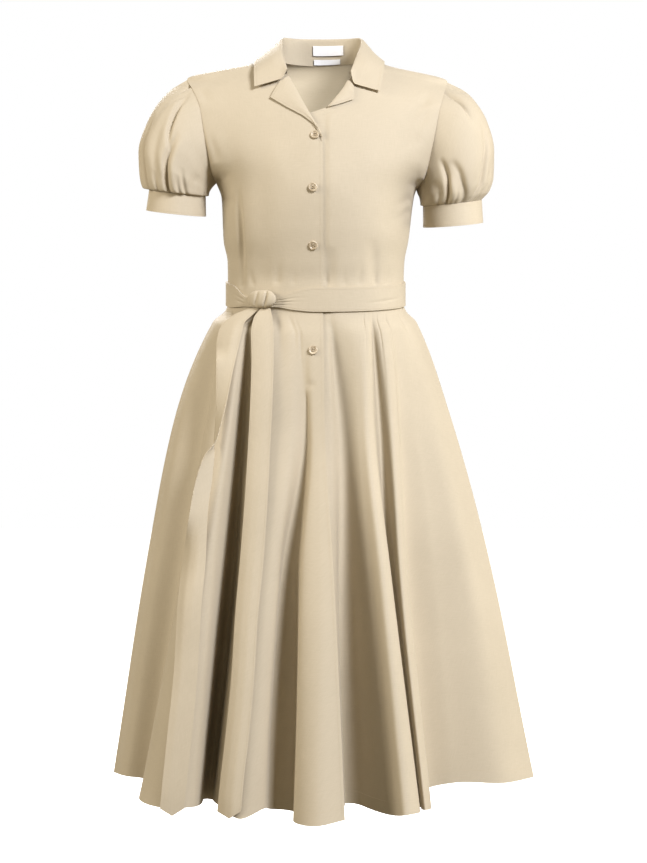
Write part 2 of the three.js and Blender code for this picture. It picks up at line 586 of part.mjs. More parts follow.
// One fold line from waist to hem as a function of the share of the way down
function foldLine(row, back, inset) {
  const start = waistPoint(row.waist, back);
  start.y += inset * (wall + lapGap);
  const table = [
    { w: 0, x: start.x, y: start.y },
    { w: beltCover, x: start.x, y: start.y },
    ...skirtLevels.map((w, i) => ({ w, x: row.x[i], y: row.y[i] })),
  ];
  const xAt = column(table, 'w', (entry) => entry.x);
  const yAt = column(table, 'w', (entry) => entry.y);
  return (w) => {
    const read = [xAt(w), yAt(w), mix(start.z, row.hem, w)];
    const point = back ? V(...read) : brought(...read);
    const lift = 1 - ease(w / waistEnd);
    const dropped = start.z - w * straightDrop;
    return V(mix(point.x, start.x, lift), point.y, mix(point.z, dropped, lift));
  };
}

function skirtPanel(folds, back, split, rows, insetOf = () => 0) {
  const lines = folds.map((row) => foldLine(row, back, insetOf(row)));
  const count = (lines.length - 1) * split;
  return rows.map((w) => {
    const curve = through(lines.map((line) => line(w)));
    return steps(0, lines.length - 1, count).map((s) => curve(s));
  });
}

const skirtRows = [1, 0.9, 0.79, 0.67, 0.54, 0.41, 0.29, 0.19, 0.11, waistEnd, beltCover, 0];
const rightSkirt = skirtPanel(rightFolds, false, 2, skirtRows);
const leftSkirt = skirtPanel(leftFolds, false, 2, skirtRows, (row) => (row.waist < 5 ? 1 : 0));
const backSkirt = skirtPanel(backFolds, true, 3, skirtRows);
backSkirt.forEach((row) => row.forEach((point) => point.add(V(0, seamGap, 0))));
const skirtSquare = (columns) => (j, i) => {
  if (columns.includes(i)) return 'y';
  return j === skirtRows.length - 1 ? 'z' : null;
};
add('skirt_front_right', clothWall(rightSkirt, { square: skirtSquare([0]) }), cloth);
add('skirt_front_left', clothWall(leftSkirt, { square: skirtSquare([26]) }), cloth);
add('skirt_back', clothWall(backSkirt, { square: skirtSquare([0, 42]) }), cloth);

// Foremost depth of the front skirt at an offset across and a level
const columnsOf = (grid) => grid[0].map((unused, i) => grid.map((row) => row[i]));
const skirtColumns = [rightSkirt, leftSkirt].map(columnsOf);
function skirtDepth(x, z) {
  let depth = 0;
  skirtColumns.forEach((columns) => {
    const section = columns.map((line) => {
      let j = 0;
      while (j < line.length - 2 && z > line[j + 1].z) j += 1;
      const t = clamp((z - line[j].z) / (line[j + 1].z - line[j].z), 0, 1);
      return line[j].clone().lerp(line[j + 1], t);
    });
    for (let i = 0; i < section.length - 1; i += 1) {
      const [a, b] = [section[i], section[i + 1]];
      if ((a.x - x) * (b.x - x) <= 0 && a.x !== b.x) {
        depth = Math.min(depth, mix(a.y, b.y, (x - a.x) / (b.x - a.x)));
      }
    }
  });
  return depth;
}

// Belt: a band round the waist, drawn in to the knot
const beltRows = [
  { x: -141, rise: 0, height: 35 },
  { x: -129, rise: 0, height: 33 },
  { x: -107, rise: -6, height: 14 },
  { x: -66, rise: -4.5, height: 14 },
  { x: -40, rise: -2, height: 26 },
  { x: -8, rise: 0, height: 35 },
  { x: 130, rise: 0, height: 35 },
];
const beltRise = column(beltRows, 'x', (row) => row.rise);
const beltTall = column(beltRows, 'x', (row) => row.height);
const beltOff = wall + 1.5;

// Point of the waist at a turn round it: 0 at the wearer's right side, the front first
function waistOval(turn) {
  const share = (1 - Math.cos(2 * Math.PI * turn)) / 2;
  return bodiceFace(mix(rightEdge[0].x, leftEdge[0].x, share), waistLevel, turn > 0.5 && turn < 1);
}

function beltPoint(turn, share) {
  const step = 0.004;
  const along = waistOval((turn + step) % 1).sub(waistOval((turn + 1 - step) % 1));
  const normal = V(along.y, -along.x, 0).normalize();
  const point = waistOval(turn);
  const behind = turn > 0.5;
  const rise = behind ? 0 : beltRise(point.x);
  const tall = behind ? beltHeight : beltTall(point.x);
  point.addScaledVector(normal, beltOff);
  point.z = waistLevel + beltTilt * point.y + rise + tall * (share - 0.5);
  return point;
}

const beltTurns = steps(0, 1, 44).slice(0, -1);
const beltGrid = [0, 0.5, 1].map((share) => beltTurns.map((turn) => beltPoint(turn, share)));
add('belt_band', clothWall(beltGrid, { wrap: true }), cloth);

// Collar: at each station the neck seam, the roll, the middle and the outer edge of the fall
const collarStations = [
  { at: 'right end', seam: [-47.5, -58.5, -27], roll: [-49.5, -62.5, -23],
    fall: [-59, -68, -38], edge: [-97.5, -66.5, -49] },
  { at: 'right front', seam: [-56, -28.5, -2.5], roll: [-56.5, -31, 6],
    fall: [-72, -41, -3], edge: [-99, -42, -18.5] },
  { at: 'right shoulder', seam: [-65, 5, 10.6], roll: [-57.5, 4, 30],
    fall: [-74, 5, 22], edge: [-98.5, 6, 4.3] },
  { at: 'right back', seam: [-57, 34.5, 6.6], roll: [-56, 33, 43.5],
    fall: [-70, 42, 30.5], edge: [-92, 58.5, -7] },
  { at: 'right of centre', seam: [-36, 54.6, 6.6], roll: [-38, 51, 46],
    fall: [-44, 62, 36], edge: [-58, 80, -9] },
  { at: 'centre back', seam: [0, 64.6, 6.6], roll: [1, 57, 46.5],
    fall: [1, 70, 36], edge: [1, 88, -6] },
  { at: 'left of centre', seam: [36, 54.6, 6.6], roll: [40, 51, 46],
    fall: [46, 62, 36], edge: [60, 80, -9] },
  { at: 'left back', seam: [58, 34.5, 6.2], roll: [59, 33, 43],
    fall: [72, 42, 30], edge: [93, 58, -8] },
  { at: 'left shoulder', seam: [65.5, 5, 9.6], roll: [60, 4, 28],
    fall: [74, 5, 20], edge: [95, 6, 2.5] },
  { at: 'left front', seam: [53.5, -27, -3.5], roll: [53.5, -31, 5],
    fall: [68, -42, -5], edge: [93, -45, -20] },
  { at: 'left end', seam: [41.5, -60, -30], roll: [43.5, -64.5, -26.5],
    fall: [50, -72, -46], edge: [86, -69, -56] },
];

const collarKeys = ['seam', 'roll', 'fall', 'edge'];
const collarLines = collarKeys.map((key) => through(collarStations.map((row) => V(...row[key]))));

// Across the collar, from the seam (0) over the roll (1) to the fall (2), then straight to its edge (3)
const fallStraight = 0.85;
function collarPoint(station, across) {
  const points = collarLines.map((line) => line(station));
  const curved = through(points)(across);
  if (across <= 2) return curved;
  return curved.lerp(points[2].clone().lerp(points[3], across - 2), fallStraight);
}
const collarAcross = [3, 2.5, 2, 1.6, 1.3, 1.12, 1, 0.85, 0.45, 0];
const collarRows = steps(0, collarStations.length - 1, 26);
const collarGrid = collarRows.map((station) => collarAcross.map((across) => collarPoint(station, across)));
add('collar', clothWall(collarGrid), cloth);

// Turned-out tops of the fronts: roll line and outer edge, from the bottom up
const rightLapel = [
  { roll: [0.9, -129.4], edge: [2.3, -135.3] },
  { roll: [-5.6, -116], edge: [-1.3, -123.4] },
  { roll: [-13.6, -100.9], edge: [-10.7, -109.9] },
  { roll: [-20.1, -88.8], edge: [-25.9, -97.5] },
  { roll: [-28.9, -72.5], edge: [-49.2, -83.7] },
  { roll: [-37, -55.7], edge: [-73.2, -67.7] },
  { roll: [-43, -44], edge: [-67, -55] },
  { roll: [-47.5, -34], edge: [-59.8, -42.5] },
];
const leftLapel = [
  { roll: [10.3, -84.3], edge: [14.6, -83.5] },
  { roll: [17.5, -75.8], edge: [26.2, -79.6] },
  { roll: [27.7, -62.6], edge: [46.6, -72] },
  { roll: [36, -50], edge: [47.4, -59.3] },
  { roll: [40, -41], edge: [48, -50.5] },
];
const lapelAcross = [
  { q: 0, out: 1.35, beyond: 1.7 },
  { q: 0.12, out: 2.7, beyond: 0.4 },
  { q: 0.4, out: 3.4, beyond: 0 },
  { q: 0.7, out: 2.9, beyond: 0 },
  { q: 1, out: 2.4, beyond: 0 },
];

// The rows of a lapel from the table, with one between each pair
function lapelGrid(table, inwards) {
  const rows = steps(0, table.length - 1, 2 * (table.length - 1)).map((s) => {
    const i = Math.min(Math.floor(s), table.length - 2);
    const pick = (key, axis) => mix(table[i][key][axis], table[i + 1][key][axis], s - i);
    return { roll: [pick('roll', 0), pick('roll', 1)], edge: [pick('edge', 0), pick('edge', 1)] };
  });
  return rows.map((row) => lapelAcross.map(({ q, out, beyond }) => {
    const x = mix(row.roll[0], row.edge[0], q) + inwards * beyond;
    return offBodice(x, mix(row.roll[1], row.edge[1], q), out);
  }));
}
add('lapel_right', clothWall(turned(lapelGrid(rightLapel, 1))), cloth);
add('lapel_left', clothWall(lapelGrid(leftLapel, -1)), cloth);

// Knot of the belt: a rounded wrap standing on the narrowed band
const knot = { from: -107, to: -65, level: -362, tall: 26, out: 12, least: 1.6 };
const knotRear = (x) => bodiceFace(x, waistLevel).y - beltOff * 1.3 - lapGap;
const knotCreases = [
  { at: 0.28, width: 0.09, depth: 3.5 },
  { at: -0.38, width: 0.1, depth: 3 },
];
const knotSlant = 0.12;
const knotShares = [-1, -0.8, -0.5, -0.2, 0.1, 0.28, 0.5, 0.8, 1];
const knotRise = [-1, -0.72, -0.3, 0.15, 0.6, 1];
function knotPoint(across, up, front) {
  const middle = (knot.from + knot.to) / 2;
  const round = Math.sqrt(Math.max(1 - 0.75 * across ** 4, 0));
  const x = middle + ((knot.to - knot.from) / 2) * across * Math.sqrt(1 - 0.35 * up ** 4);
  const z = knot.level + (knot.tall / 2) * up * round;
  const swell = Math.sqrt(Math.max((1 - across ** 2) * (1 - up ** 2), 0));
  const crease = knotCreases.reduce((sum, row) => {
    const off = (across - row.at - knotSlant * up) / row.width;
    return sum + row.depth * Math.exp(-(off ** 2));
  }, 0);
  const depth = front ? knot.least + knot.out * swell ** 0.7 - crease * swell : 0;
  return V(x, knotRear(x) - depth, z);
}
const knotGrid = (front) => knotRise.map((up) => knotShares.map((across) => knotPoint(across, up, front)));
add('belt_knot', wallBetween(knotGrid(true), knotGrid(false), false), cloth);

// Tails of the belt: both edges across at each level, and how far the second edge stands forward
const rightTail = [
  { z: -369.1, from: -108, to: -93, lean: 0 },
  { z: -379, from: -131, to: -103, lean: 0 },
  { z: -392, from: -147, to: -115.5, lean: 0 },
  { z: -405, from: -153.8, to: -118.5, lean: 0 },
  { z: -424.5, from: -156.8, to: -123, lean: 0 },
  { z: -459, from: -157, to: -131.2, lean: -6 },
  { z: -510, from: -157.8, to: -141.8, lean: -14 },
  { z: -544.5, from: -159.3, to: -150.8, lean: -18 },
  { z: -568.5, from: -161, to: -158.2, lean: -18 },
  { z: -590, from: -160.5, to: -175, lean: -15 },
  { z: -625.5, from: -163.5, to: -187.5, lean: -10 },
  { z: -672, from: -169.5, to: -196.5, lean: -5 },
  { z: -753, from: -173.2, to: -207, lean: 0 },
  { z: -807, from: -178.5, to: -213.8, lean: 0 },
  { z: -918, from: -185.2, to: -220.5, lean: 0 },
  { z: -975, from: -189.8, to: -226.5, lean: 0 },
  { z: -1045.5, from: -197.2, to: -234, lean: 0 },
  { z: -1119.8, from: -205.5, to: -241.5, lean: 0 },
];
const leftTail = [
  { z: -369.05, from: -90, to: -76, lean: 0 },
  { z: -384, from: -101, to: -73, lean: 0 },
  { z: -408, from: -105, to: -71.1, lean: 0 },
  { z: -447, from: -104.2, to: -71.1, lean: 0 },
  { z: -507, from: -106, to: -72.8, lean: 0 },
  { z: -582, from: -109.8, to: -76.5, lean: 0 },
  { z: -657, from: -114.3, to: -80.2, lean: 0 },
  { z: -747, from: -121.5, to: -86.2, lean: 0 },
  { z: -832.5, from: -129, to: -94.5, lean: 0 },
  { z: -918, from: -134.2, to: -99.8, lean: 0 },
  { z: -1003.5, from: -142.5, to: -107.2, lean: 0 },
  { z: -1074, from: -150.8, to: -115.5, lean: 0 },
  { z: -1124, from: -156, to: -120, lean: 0 },
];
const tailOff = wall + 1.8;
const tailTip = 11;
const tailReach = 10;
const skirtFront = -130;

// Foremost depth of the skirt about a reading of the front view
function depthAbout(x, z) {
  let y = skirtFront;
  for (let turn = 0; turn < 3; turn += 1) {
    const near = steps(-tailReach, tailReach, 4).map((shift) => {
      const point = brought(x + shift, y, z);
      return skirtDepth(point.x, point.z);
    });
    y = Math.min(...near);
  }
  return y;
}

function tailGrid(table) {
  const across = steps(0, 1, 3);
  const rows = steps(table.length - 1, 0, 2 * (table.length - 1)).map((s) => {
    const i = Math.min(Math.floor(s), table.length - 2);
    const pick = (key) => mix(table[i][key], table[i + 1][key], s - i);
    return { z: pick('z'), from: pick('from'), to: pick('to'), lean: pick('lean') };
  });
  let depths = rows.map((row) => across.map((s) => depthAbout(mix(row.from, row.to, s), row.z) - tailOff));
  for (let pass = 0; pass < 8; pass += 1) {
    depths = depths.map((row, j) => row.map((y, i) => {
      if (j === 0 || j === depths.length - 1) return y;
      return Math.min(y, (depths[j - 1][i] + depths[j + 1][i]) / 2);
    }));
  }
  return rows.map((row, j) => across.map((s, i) => {
    const leaning = row.lean === 0 ? depths[j][i] : Math.min(...depths[j]);
    const tip = j === 0 ? tailTip * (1 - Math.abs(2 * s - 1)) : 0;
    return brought(mix(row.from, row.to, s), leaning + row.lean * s, row.z - tip);
  }));
}
add('belt_tail_right', clothWall(tailGrid(rightTail)), cloth);
add('belt_tail_left', clothWall(tailGrid(leftTail)), cloth);

// Buttons: bevelled discs standing on the right front
const buttonSpots = [
  { name: 'button_1', x: -8.5, z: -126.6 },
  { name: 'button_2', x: -11.3, z: -203.9 },
  { name: 'button_3', x: -11.3, z: -280.4 },
];
const skirtButton = { name: 'button_4', x: -11.3, z: -437.1, lift: 0.2 };
const buttonProfile = [
  { radius: 0.86, out: 0 },
  { radius: 1, out: 0.3 },
  { radius: 1, out: 0.75 },
  { radius: 0.82, out: 1 },
  { radius: 0.62, out: 0.8 },
];

function buttonDisc(centre, normal) {
  const sides = 18;
  const across = V(1, 0, 0).addScaledVector(normal, -normal.x).normalize();
  const up = normal.clone().cross(across);
  const angles = steps(0, 2 * Math.PI, sides).slice(0, -1);
  const rings = buttonProfile.map((row) => angles.map((angle) => centre.clone()
    .addScaledVector(across, buttonRadius * row.radius * Math.cos(angle))
    .addScaledVector(up, buttonRadius * row.radius * Math.sin(angle))
    .addScaledVector(normal, buttonSeat + row.out * buttonThick)));
  const points = [...rings.flat(), centre.clone().addScaledVector(normal, buttonSeat),
    centre.clone().addScaledVector(normal, buttonSeat + 0.8 * buttonThick)];
  const faces = [];
  const [low, high] = [points.length - 2, points.length - 1];
  for (let i = 0; i < sides; i += 1) {
    const next = (i + 1) % sides;
    faces.push(low, next, i);
    const top = (rings.length - 1) * sides;
    faces.push(high, top + i, top + next);
    for (let j = 0; j < rings.length - 1; j += 1) {
      const [a, b, c, d] = [j * sides + i, j * sides + next, (j + 1) * sides + next, (j + 1) * sides + i];
      faces.push(a, b, c, a, c, d);
    }
  }
  return solidOf(points, faces);
}
buttonSpots.forEach(({ name, x, z }) => {
  const centre = bodiceFace(x, z);
  add(name, buttonDisc(centre, offBodice(x, z, 1).sub(centre).normalize()), buttonTan);
});
const buttonDepth = (rise) => skirtDepth(skirtButton.x, skirtButton.z + rise);
const skirtSpot = V(skirtButton.x, buttonDepth(0) - skirtButton.lift, skirtButton.z);
const skirtSlope = (buttonDepth(buttonRadius) - buttonDepth(-buttonRadius)) / (2 * buttonRadius);
add(skirtButton.name, buttonDisc(skirtSpot, V(0, -1, skirtSlope).normalize()), buttonTan);

// Labels inside the back neck, on the stand of the collar
const labelThick = 1;
const labelOff = labelThick + lapGap + 0.2;
const labels = [
  { name: 'neck_label', from: -12.3, to: 33.6, low: 0.31, high: 0.61 },
  { name: 'size_label', from: -10.8, to: 29, low: 0.03, high: 0.2 },
];
function standPoint(x, across) {
  let [low, high] = [3, 7];
  for (let turn = 0; turn < 30; turn += 1) {
    const middle = (low + high) / 2;
    if (collarPoint(middle, across).x < x) low = middle;
    else high = middle;
  }
  return collarPoint(low, across);
}
labels.forEach(({ name, from, to, low, high }) => {
  const across = steps(from, to, 4);
  const grid = [low, high].map((share) => across.map((x) => standPoint(x, share).add(V(0, -labelOff, 0))));
  add(name, clothWall(grid, { thick: labelThick }), labelWhite);
});

const group = new THREE.Group();
group.name = 'shirt_dress';
parts.forEach(({ name, geometry, colour }) => {
  const material = new THREE.MeshStandardMaterial({ color: colour, roughness: 0.85, metalness: 0 });
  const mesh = new THREE.Mesh(geometry, material);
  mesh.name = name;
  group.add(mesh);
});

export default group;
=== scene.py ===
# Shirt dress in its cloth. The forms are the ones of the solids, sampled finer, with the small
# creases, the sewing, the buttons' holes and the weave added. Worked out in millimetres, built in
# metres, +Z up, the front faces -Y, the wearer's right is on -X.
import math
import bpy
import numpy as np
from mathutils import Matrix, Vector
from mathutils.bvhtree import BVHTree


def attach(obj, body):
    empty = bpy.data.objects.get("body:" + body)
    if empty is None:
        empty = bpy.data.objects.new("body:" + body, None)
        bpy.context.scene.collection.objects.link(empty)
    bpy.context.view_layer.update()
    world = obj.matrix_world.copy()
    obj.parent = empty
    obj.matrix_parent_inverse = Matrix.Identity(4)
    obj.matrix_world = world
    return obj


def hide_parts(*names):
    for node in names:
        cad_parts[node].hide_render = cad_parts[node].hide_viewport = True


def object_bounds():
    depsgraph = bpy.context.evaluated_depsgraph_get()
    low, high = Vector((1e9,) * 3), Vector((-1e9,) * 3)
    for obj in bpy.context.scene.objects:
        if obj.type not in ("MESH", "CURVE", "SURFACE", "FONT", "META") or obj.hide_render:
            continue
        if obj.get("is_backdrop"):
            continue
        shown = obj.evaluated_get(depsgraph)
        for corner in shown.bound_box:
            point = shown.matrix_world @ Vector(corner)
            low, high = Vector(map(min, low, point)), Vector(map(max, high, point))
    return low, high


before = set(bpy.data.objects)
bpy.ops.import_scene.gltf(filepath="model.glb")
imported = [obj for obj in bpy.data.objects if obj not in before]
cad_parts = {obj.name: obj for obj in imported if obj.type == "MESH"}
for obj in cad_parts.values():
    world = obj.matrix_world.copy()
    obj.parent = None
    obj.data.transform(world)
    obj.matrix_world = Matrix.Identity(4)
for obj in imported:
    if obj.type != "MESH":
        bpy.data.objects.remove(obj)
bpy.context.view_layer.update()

# Driving dimensions, the same as the solids'
WALL = 1.3
SEAM_GAP = 0.3
LAP_GAP = 0.6
BELT_HEIGHT = 35
BELT_TILT = 0.165
WAIST_LEVEL = -347
BUTTON_RADIUS = 6.6
BUTTON_THICK = 2.4
BUTTON_SEAT = 0.35

# The cloth here is thinner than the solids' wall, and the belt is cut double
CLOTH = 0.9
BELT_CLOTH = 2.4

# Offsets across and down are read in a front view taken from 2.7 m away
VIEW_DISTANCE = 2700
VIEW_ACROSS = 3.75
VIEW_LEVEL = -554
PHOTO_LONG_SIDE = 863
PHOTO_FOCAL = 1800


def mix(a, b, t):
    return a + (b - a) * t


def ease(t):
    s = np.clip(t, 0, 1)
    return s * s * (3 - 2 * s)


def unit(vectors):
    return vectors / np.maximum(np.linalg.norm(vectors, axis=-1, keepdims=True), 1e-9)


def brought(x, y, z):
    """A reading of the front view brought to its own depth."""
    scale = 1 + y / VIEW_DISTANCE
    across = VIEW_ACROSS + (x - VIEW_ACROSS) * scale
    return np.stack([across, y, VIEW_LEVEL + (z - VIEW_LEVEL) * scale], -1)


def column(at, values):
    """Smooth curve through one column of a table, without overshoot."""
    at = np.asarray(at, float)
    values = np.asarray(values, float)
    slopes = np.diff(values) / np.diff(at)
    product = slopes[:-1] * slopes[1:]
    total = np.where(product > 0, slopes[:-1] + slopes[1:], 1)
    inner = np.where(product > 0, 2 * product / total, 0)
    tangents = np.concatenate([slopes[:1], inner, slopes[-1:]])

    def curve(x):
        u = np.clip(x, at[0], at[-1])
        i = np.clip(np.searchsorted(at, u, side="right") - 1, 0, len(at) - 2)
        h = at[i + 1] - at[i]
        t = (u - at[i]) / h
        a = values[i] * (1 + 2 * t) * (1 - t) ** 2 + values[i + 1] * t * t * (3 - 2 * t)
        return a + h * (tangents[i] * t * (1 - t) ** 2 - tangents[i + 1] * t * t * (1 - t))

    return curve


def curves_of(rows):
    """Smooth curves through the columns of a table, by its first column."""
    at, *columns = zip(*rows)
    return [column(at, values) for values in columns]


def through(points):
    """Smooth curve through points (first axis), the parameter counting them from 0."""
    points = np.asarray(points, float)
    first = 2 * points[:1] - points[1:2]
    last = 2 * points[-1:] - points[-2:-1]
    padded = np.concatenate([first, points, last])

    def curve(s):
        s = np.asarray(s, float)
        i = np.clip(np.floor(s).astype(int), 0, len(points) - 2)
        p0, p1, p2, p3 = (padded[i + k] for k in range(4))
        t = (s - i).reshape((-1,) + (1,) * (p1.ndim - 1))

        def root(a, b):
            return np.sqrt(np.maximum(np.linalg.norm(b - a, axis=-1, keepdims=True), 1e-3))

        d0, d1, d2 = root(p0, p1), root(p1, p2), root(p2, p3)
        m1 = p2 - p1 + (p1 - p0) * d1 / d0 - (p2 - p0) * d1 / (d0 + d1)
        m2 = p2 - p1 + (p3 - p2) * d1 / d2 - (p3 - p1) * d1 / (d1 + d2)
        return (p1 * (1 + 2 * t) * (1 - t) ** 2 + p2 * t * t * (3 - 2 * t)
                + m1 * t * (1 - t) ** 2 - m2 * t * t * (1 - t))

    return curve


def lengths_of(run):
    """Length along a run of points, from 0 at the first."""
    return np.concatenate([[0], np.cumsum(np.linalg.norm(np.diff(run, axis=0), axis=1))])


def read_at(x, at, run):
    """A run of points read at places x, when its own points lie at places at."""
    return np.stack([np.interp(x, at, values) for values in run.T], -1)


def normals_of(grid, wrap=False):
    """Normals of a grid whose rows run up and columns to the right as seen from the face."""
    if wrap:
        across = np.roll(grid, -1, 1) - np.roll(grid, 1, 1)
    else:
        across = np.gradient(grid, axis=1)
    return unit(np.cross(across, np.gradient(grid, axis=0)))


def raised(grid, amount, wrap=False):
    return grid + normals_of(grid, wrap) * amount[..., None]


def about_line(a, b, start_a, start_b, end_a, end_b, aspect=1.0):
    """Share of the way along a line, and the distance off it."""
    da, db = end_a - start_a, (end_b - start_b) * aspect
    pa, pb = a - start_a, (b - start_b) * aspect
    length = math.hypot(da, db)
    along = np.clip((pa * da + pb * db) / length ** 2, 0, 1)
    return along, (pa * db - pb * da) / length


def creases(a, b, rows, aspect=1.0):
    """Soft troughs and ridges along lines in a piece's own coordinates. A row is both ends, the
    width, the depth (ridges are negative) and where along it the crease is deepest."""
    field = np.zeros(np.broadcast(a, b).shape)
    for *line, width, depth, peak in rows:
        along, off = about_line(a, b, *line, aspect)
        crease = ease(along / peak) * ease((1 - along) / (1 - peak))
        field = field - depth * crease * np.exp(-(off / width) ** 2)
    return field


def seam_fade(places, seams, width):
    """0 at the seams that other pieces meet, 1 away from them."""
    keep = 1
    for seam in seams:
        keep = keep * ease(np.abs(places - seam) / width)
    return keep


# Edge of the bodice at each side: level, across, front depth, back depth
RIGHT_EDGE = [
    (-347, -140, 0, 0), (-325, -139.6, 0, 0), (-300, -140, 0, 0), (-268, -146, 0, 0), (-205, -149, 0, 0),
    (-182, -157, 0, 0), (-172, -162, -34, 34), (-158, -164, -50, 50), (-126, -170, -58, 58),
    (-75, -178.5, -48, 50), (-43, -192, -20, 30), (-24, -201, 6, 6), (-4, -116, 6, 6), (9, -67, 5, 5),
]
LEFT_EDGE = [
    (-347, 124, 0, 0), (-325, 124, 0, 0), (-300, 125, 0, 0), (-268, 131, 0, 0), (-205, 139, 0, 0),
    (-192, 143, 0, 0), (-180, 153, -36, 34), (-158, 159, -52, 50), (-124, 166, -58, 58),
    (-77, 175.5, -48, 50), (-48, 184, -20, 30), (-28, 190, 6, 6), (-4, 101, 6, 6), (8, 68, 5, 5),
]
UNDERARM_ROW = 5
SHOULDER_ROW = 11
WAIST_SIDES = RIGHT_EDGE[0][1], LEFT_EDGE[0][1]

# Centre line: level, front and back depth, how round the section is there in front and behind
CENTRE_DEPTH = [
    (-347, -98, 92, 1, 1), (-325, -98.5, 92, 1, 1), (-300, -104, 95, 1, 1), (-250, -115, 103, 1, 1),
    (-200, -121, 111, 0.9, 0.9), (-150, -113, 116, 0.35, 0.4), (-110, -101, 115, 0.1, 0.2),
    (-75, -88, 110, 0, 0.15), (-50, -76, 103, 0, 0.2), (-25, -61, 92, 0, 0.3), (0, -47, 74, 0, 0.7),
    (12, -38, 60, 0, 1),
]
BODICE_MIDDLE = -4

# How the section bends from the centre to the side, flat or round, and where the dents end
FLAT_BEND = 1.6
ROUND_BEND = 2.3
DENT_BEND = 4

# The waist leans with the belt below this level
TILT_FROM = -250

# Soft troughs: one end and the other (across, level), width, depth
FRONT_TROUGHS = [
    (-90, -190, -84, -338, 15, 6), (-152, -86, -118, -230, 18, 4), (14, -280, 11, -340, 8, 3),
    (76, -270, 78, -340, 9, 4), (150, -60, 96, -180, 16, 4.5), (128, -198, 92, -262, 12, 4),
]
BACK_TROUGHS = [
    (-60, -110, -48, -330, 22, 6), (64, -120, 52, -330, 20, 6),
]

# Inner edges of the two fronts: level, across
RIGHT_INNER = [
    (-347, 3), (-140, 2.5), (-126, -1), (-112, -9), (-88, -20), (-66, -32), (-40, -45), (-18, -53),
    (0, -58.5), (9, -66),
]
LEFT_INNER = [
    (-347, -25), (-92, -23), (-86, 9), (-68, 24), (-47, 38), (-25, 47), (0, 57), (8, 67),
]

# The lap: where its step ends across, and below what level it is
LAP_END = 5
LAP_FADE = 9
LAP_TOP = -70
LAP_TOP_FADE = 22

# Grid of the bodice panels
SIDE_ROWS = 56
HOLE_ROWS = 48
SHOULDER_ROWS = 20
LAST_HOLE_ROW = SIDE_ROWS + HOLE_ROWS
SHOULDER_SHORT = 3
RIGHT_COLUMNS = 101
LEFT_COLUMNS = 111
BACK_COLUMNS = 161


class Edge:
    """One side of the bodice: its offset across and its front and back depths, by level."""

    def __init__(self, rows):
        self.x, self.front, self.back = curves_of(rows)
        self.levels = [row[0] for row in rows]


RIGHT = Edge(RIGHT_EDGE)
LEFT = Edge(LEFT_EDGE)
centre_front, centre_back, round_front, round_back = curves_of(CENTRE_DEPTH)


def trough(x, z, back):
    total = np.zeros(np.broadcast(x, z).shape)
    for *line, width, depth in BACK_TROUGHS if back else FRONT_TROUGHS:
        along, off = about_line(x, z, *line)
        total = total + depth * np.sin(np.pi * along) * np.exp(-(off / width) ** 2)
    return total


def bodice_face(x, z, back=False):
    """Face of the bodice at an offset across and a level, on the front or the back."""
    x, z = np.broadcast_arrays(np.asarray(x, float), np.asarray(z, float))
    right = x < BODICE_MIDDLE
    edge_x = np.where(right, RIGHT.x(z), LEFT.x(z))
    if back:
        edge_y = np.where(right, RIGHT.back(z), LEFT.back(z))
        centre, roundness = centre_back(z), round_back(z)
    else:
        edge_y = np.where(right, RIGHT.front(z), LEFT.front(z))
        centre, roundness = centre_front(z), round_front(z)
    t = np.clip((x - BODICE_MIDDLE) / (edge_x - BODICE_MIDDLE), 0, 1)
    curved = 1 - np.sqrt(np.maximum(1 - t ** ROUND_BEND, 0))
    dent = trough(x, z, back) * (1 - t ** DENT_BEND)
    y = mix(centre, edge_y, mix(t ** FLAT_BEND, curved, roundness)) + (-dent if back else dent)
    tilt = BELT_TILT * np.clip((TILT_FROM - z) / (TILT_FROM - WAIST_LEVEL), 0, 1)
    return np.stack([x, y, z + tilt * y], -1)


def off_bodice(x, z, out):
    """Point off the front face of the bodice along its normal."""
    step = 2
    across = bodice_face(x + step, z) - bodice_face(x - step, z)
    up = bodice_face(x, z + step) - bodice_face(x, z - step)
    return bodice_face(x, z) + unit(np.cross(across, up)) * out[..., None]


def lap_step(x):
    """The under front steps in behind the over front at the centre lap."""
    return (CLOTH + LAP_GAP) * (1 - ease((x - LAP_END) / LAP_FADE))


def levels_of(edge):
    """Levels of a bodice panel's rows: side seam, armhole and shoulder line."""
    z = edge.levels
    side = np.linspace(z[0] + SEAM_GAP / 2, z[UNDERARM_ROW], SIDE_ROWS + 1)
    hole = np.interp(np.linspace(UNDERARM_ROW, SHOULDER_ROW, HOLE_ROWS + 1), range(len(z)), z)
    shoulder = np.linspace(z[SHOULDER_ROW], z[-1] - SHOULDER_SHORT, SHOULDER_ROWS + 1)
    return np.concatenate([side, hole[1:], shoulder[1:]])


def front_panel(edge, inner_rows, across, under):
    z = levels_of(edge)[:, None]
    share = mix(across, np.sin(across * np.pi / 2), round_front(z))
    inner = np.interp(z, *zip(*inner_rows))
    grid = bodice_face(mix(inner, edge.x(z), share), z)
    if under:
        grid[..., 1] += lap_step(grid[..., 0]) * ease((LAP_TOP - grid[..., 2]) / LAP_TOP_FADE)
    return grid


def back_panel(across):
    z_right = levels_of(RIGHT)[:, None]
    z_left = levels_of(LEFT)[:, None]
    z = mix(z_right, z_left, across)
    share = mix(across, 0.5 - 0.5 * np.cos(across * np.pi), round_back(z))
    grid = bodice_face(mix(RIGHT.x(z_right), LEFT.x(z_left), share), z, True)
    grid[..., 1] += SEAM_GAP
    return grid


plain_right = front_panel(RIGHT, RIGHT_INNER, np.linspace(1, 0, RIGHT_COLUMNS), False)
plain_left = front_panel(LEFT, LEFT_INNER, np.linspace(0, 1, LEFT_COLUMNS), True)
plain_back = back_panel(np.linspace(1, 0, BACK_COLUMNS))

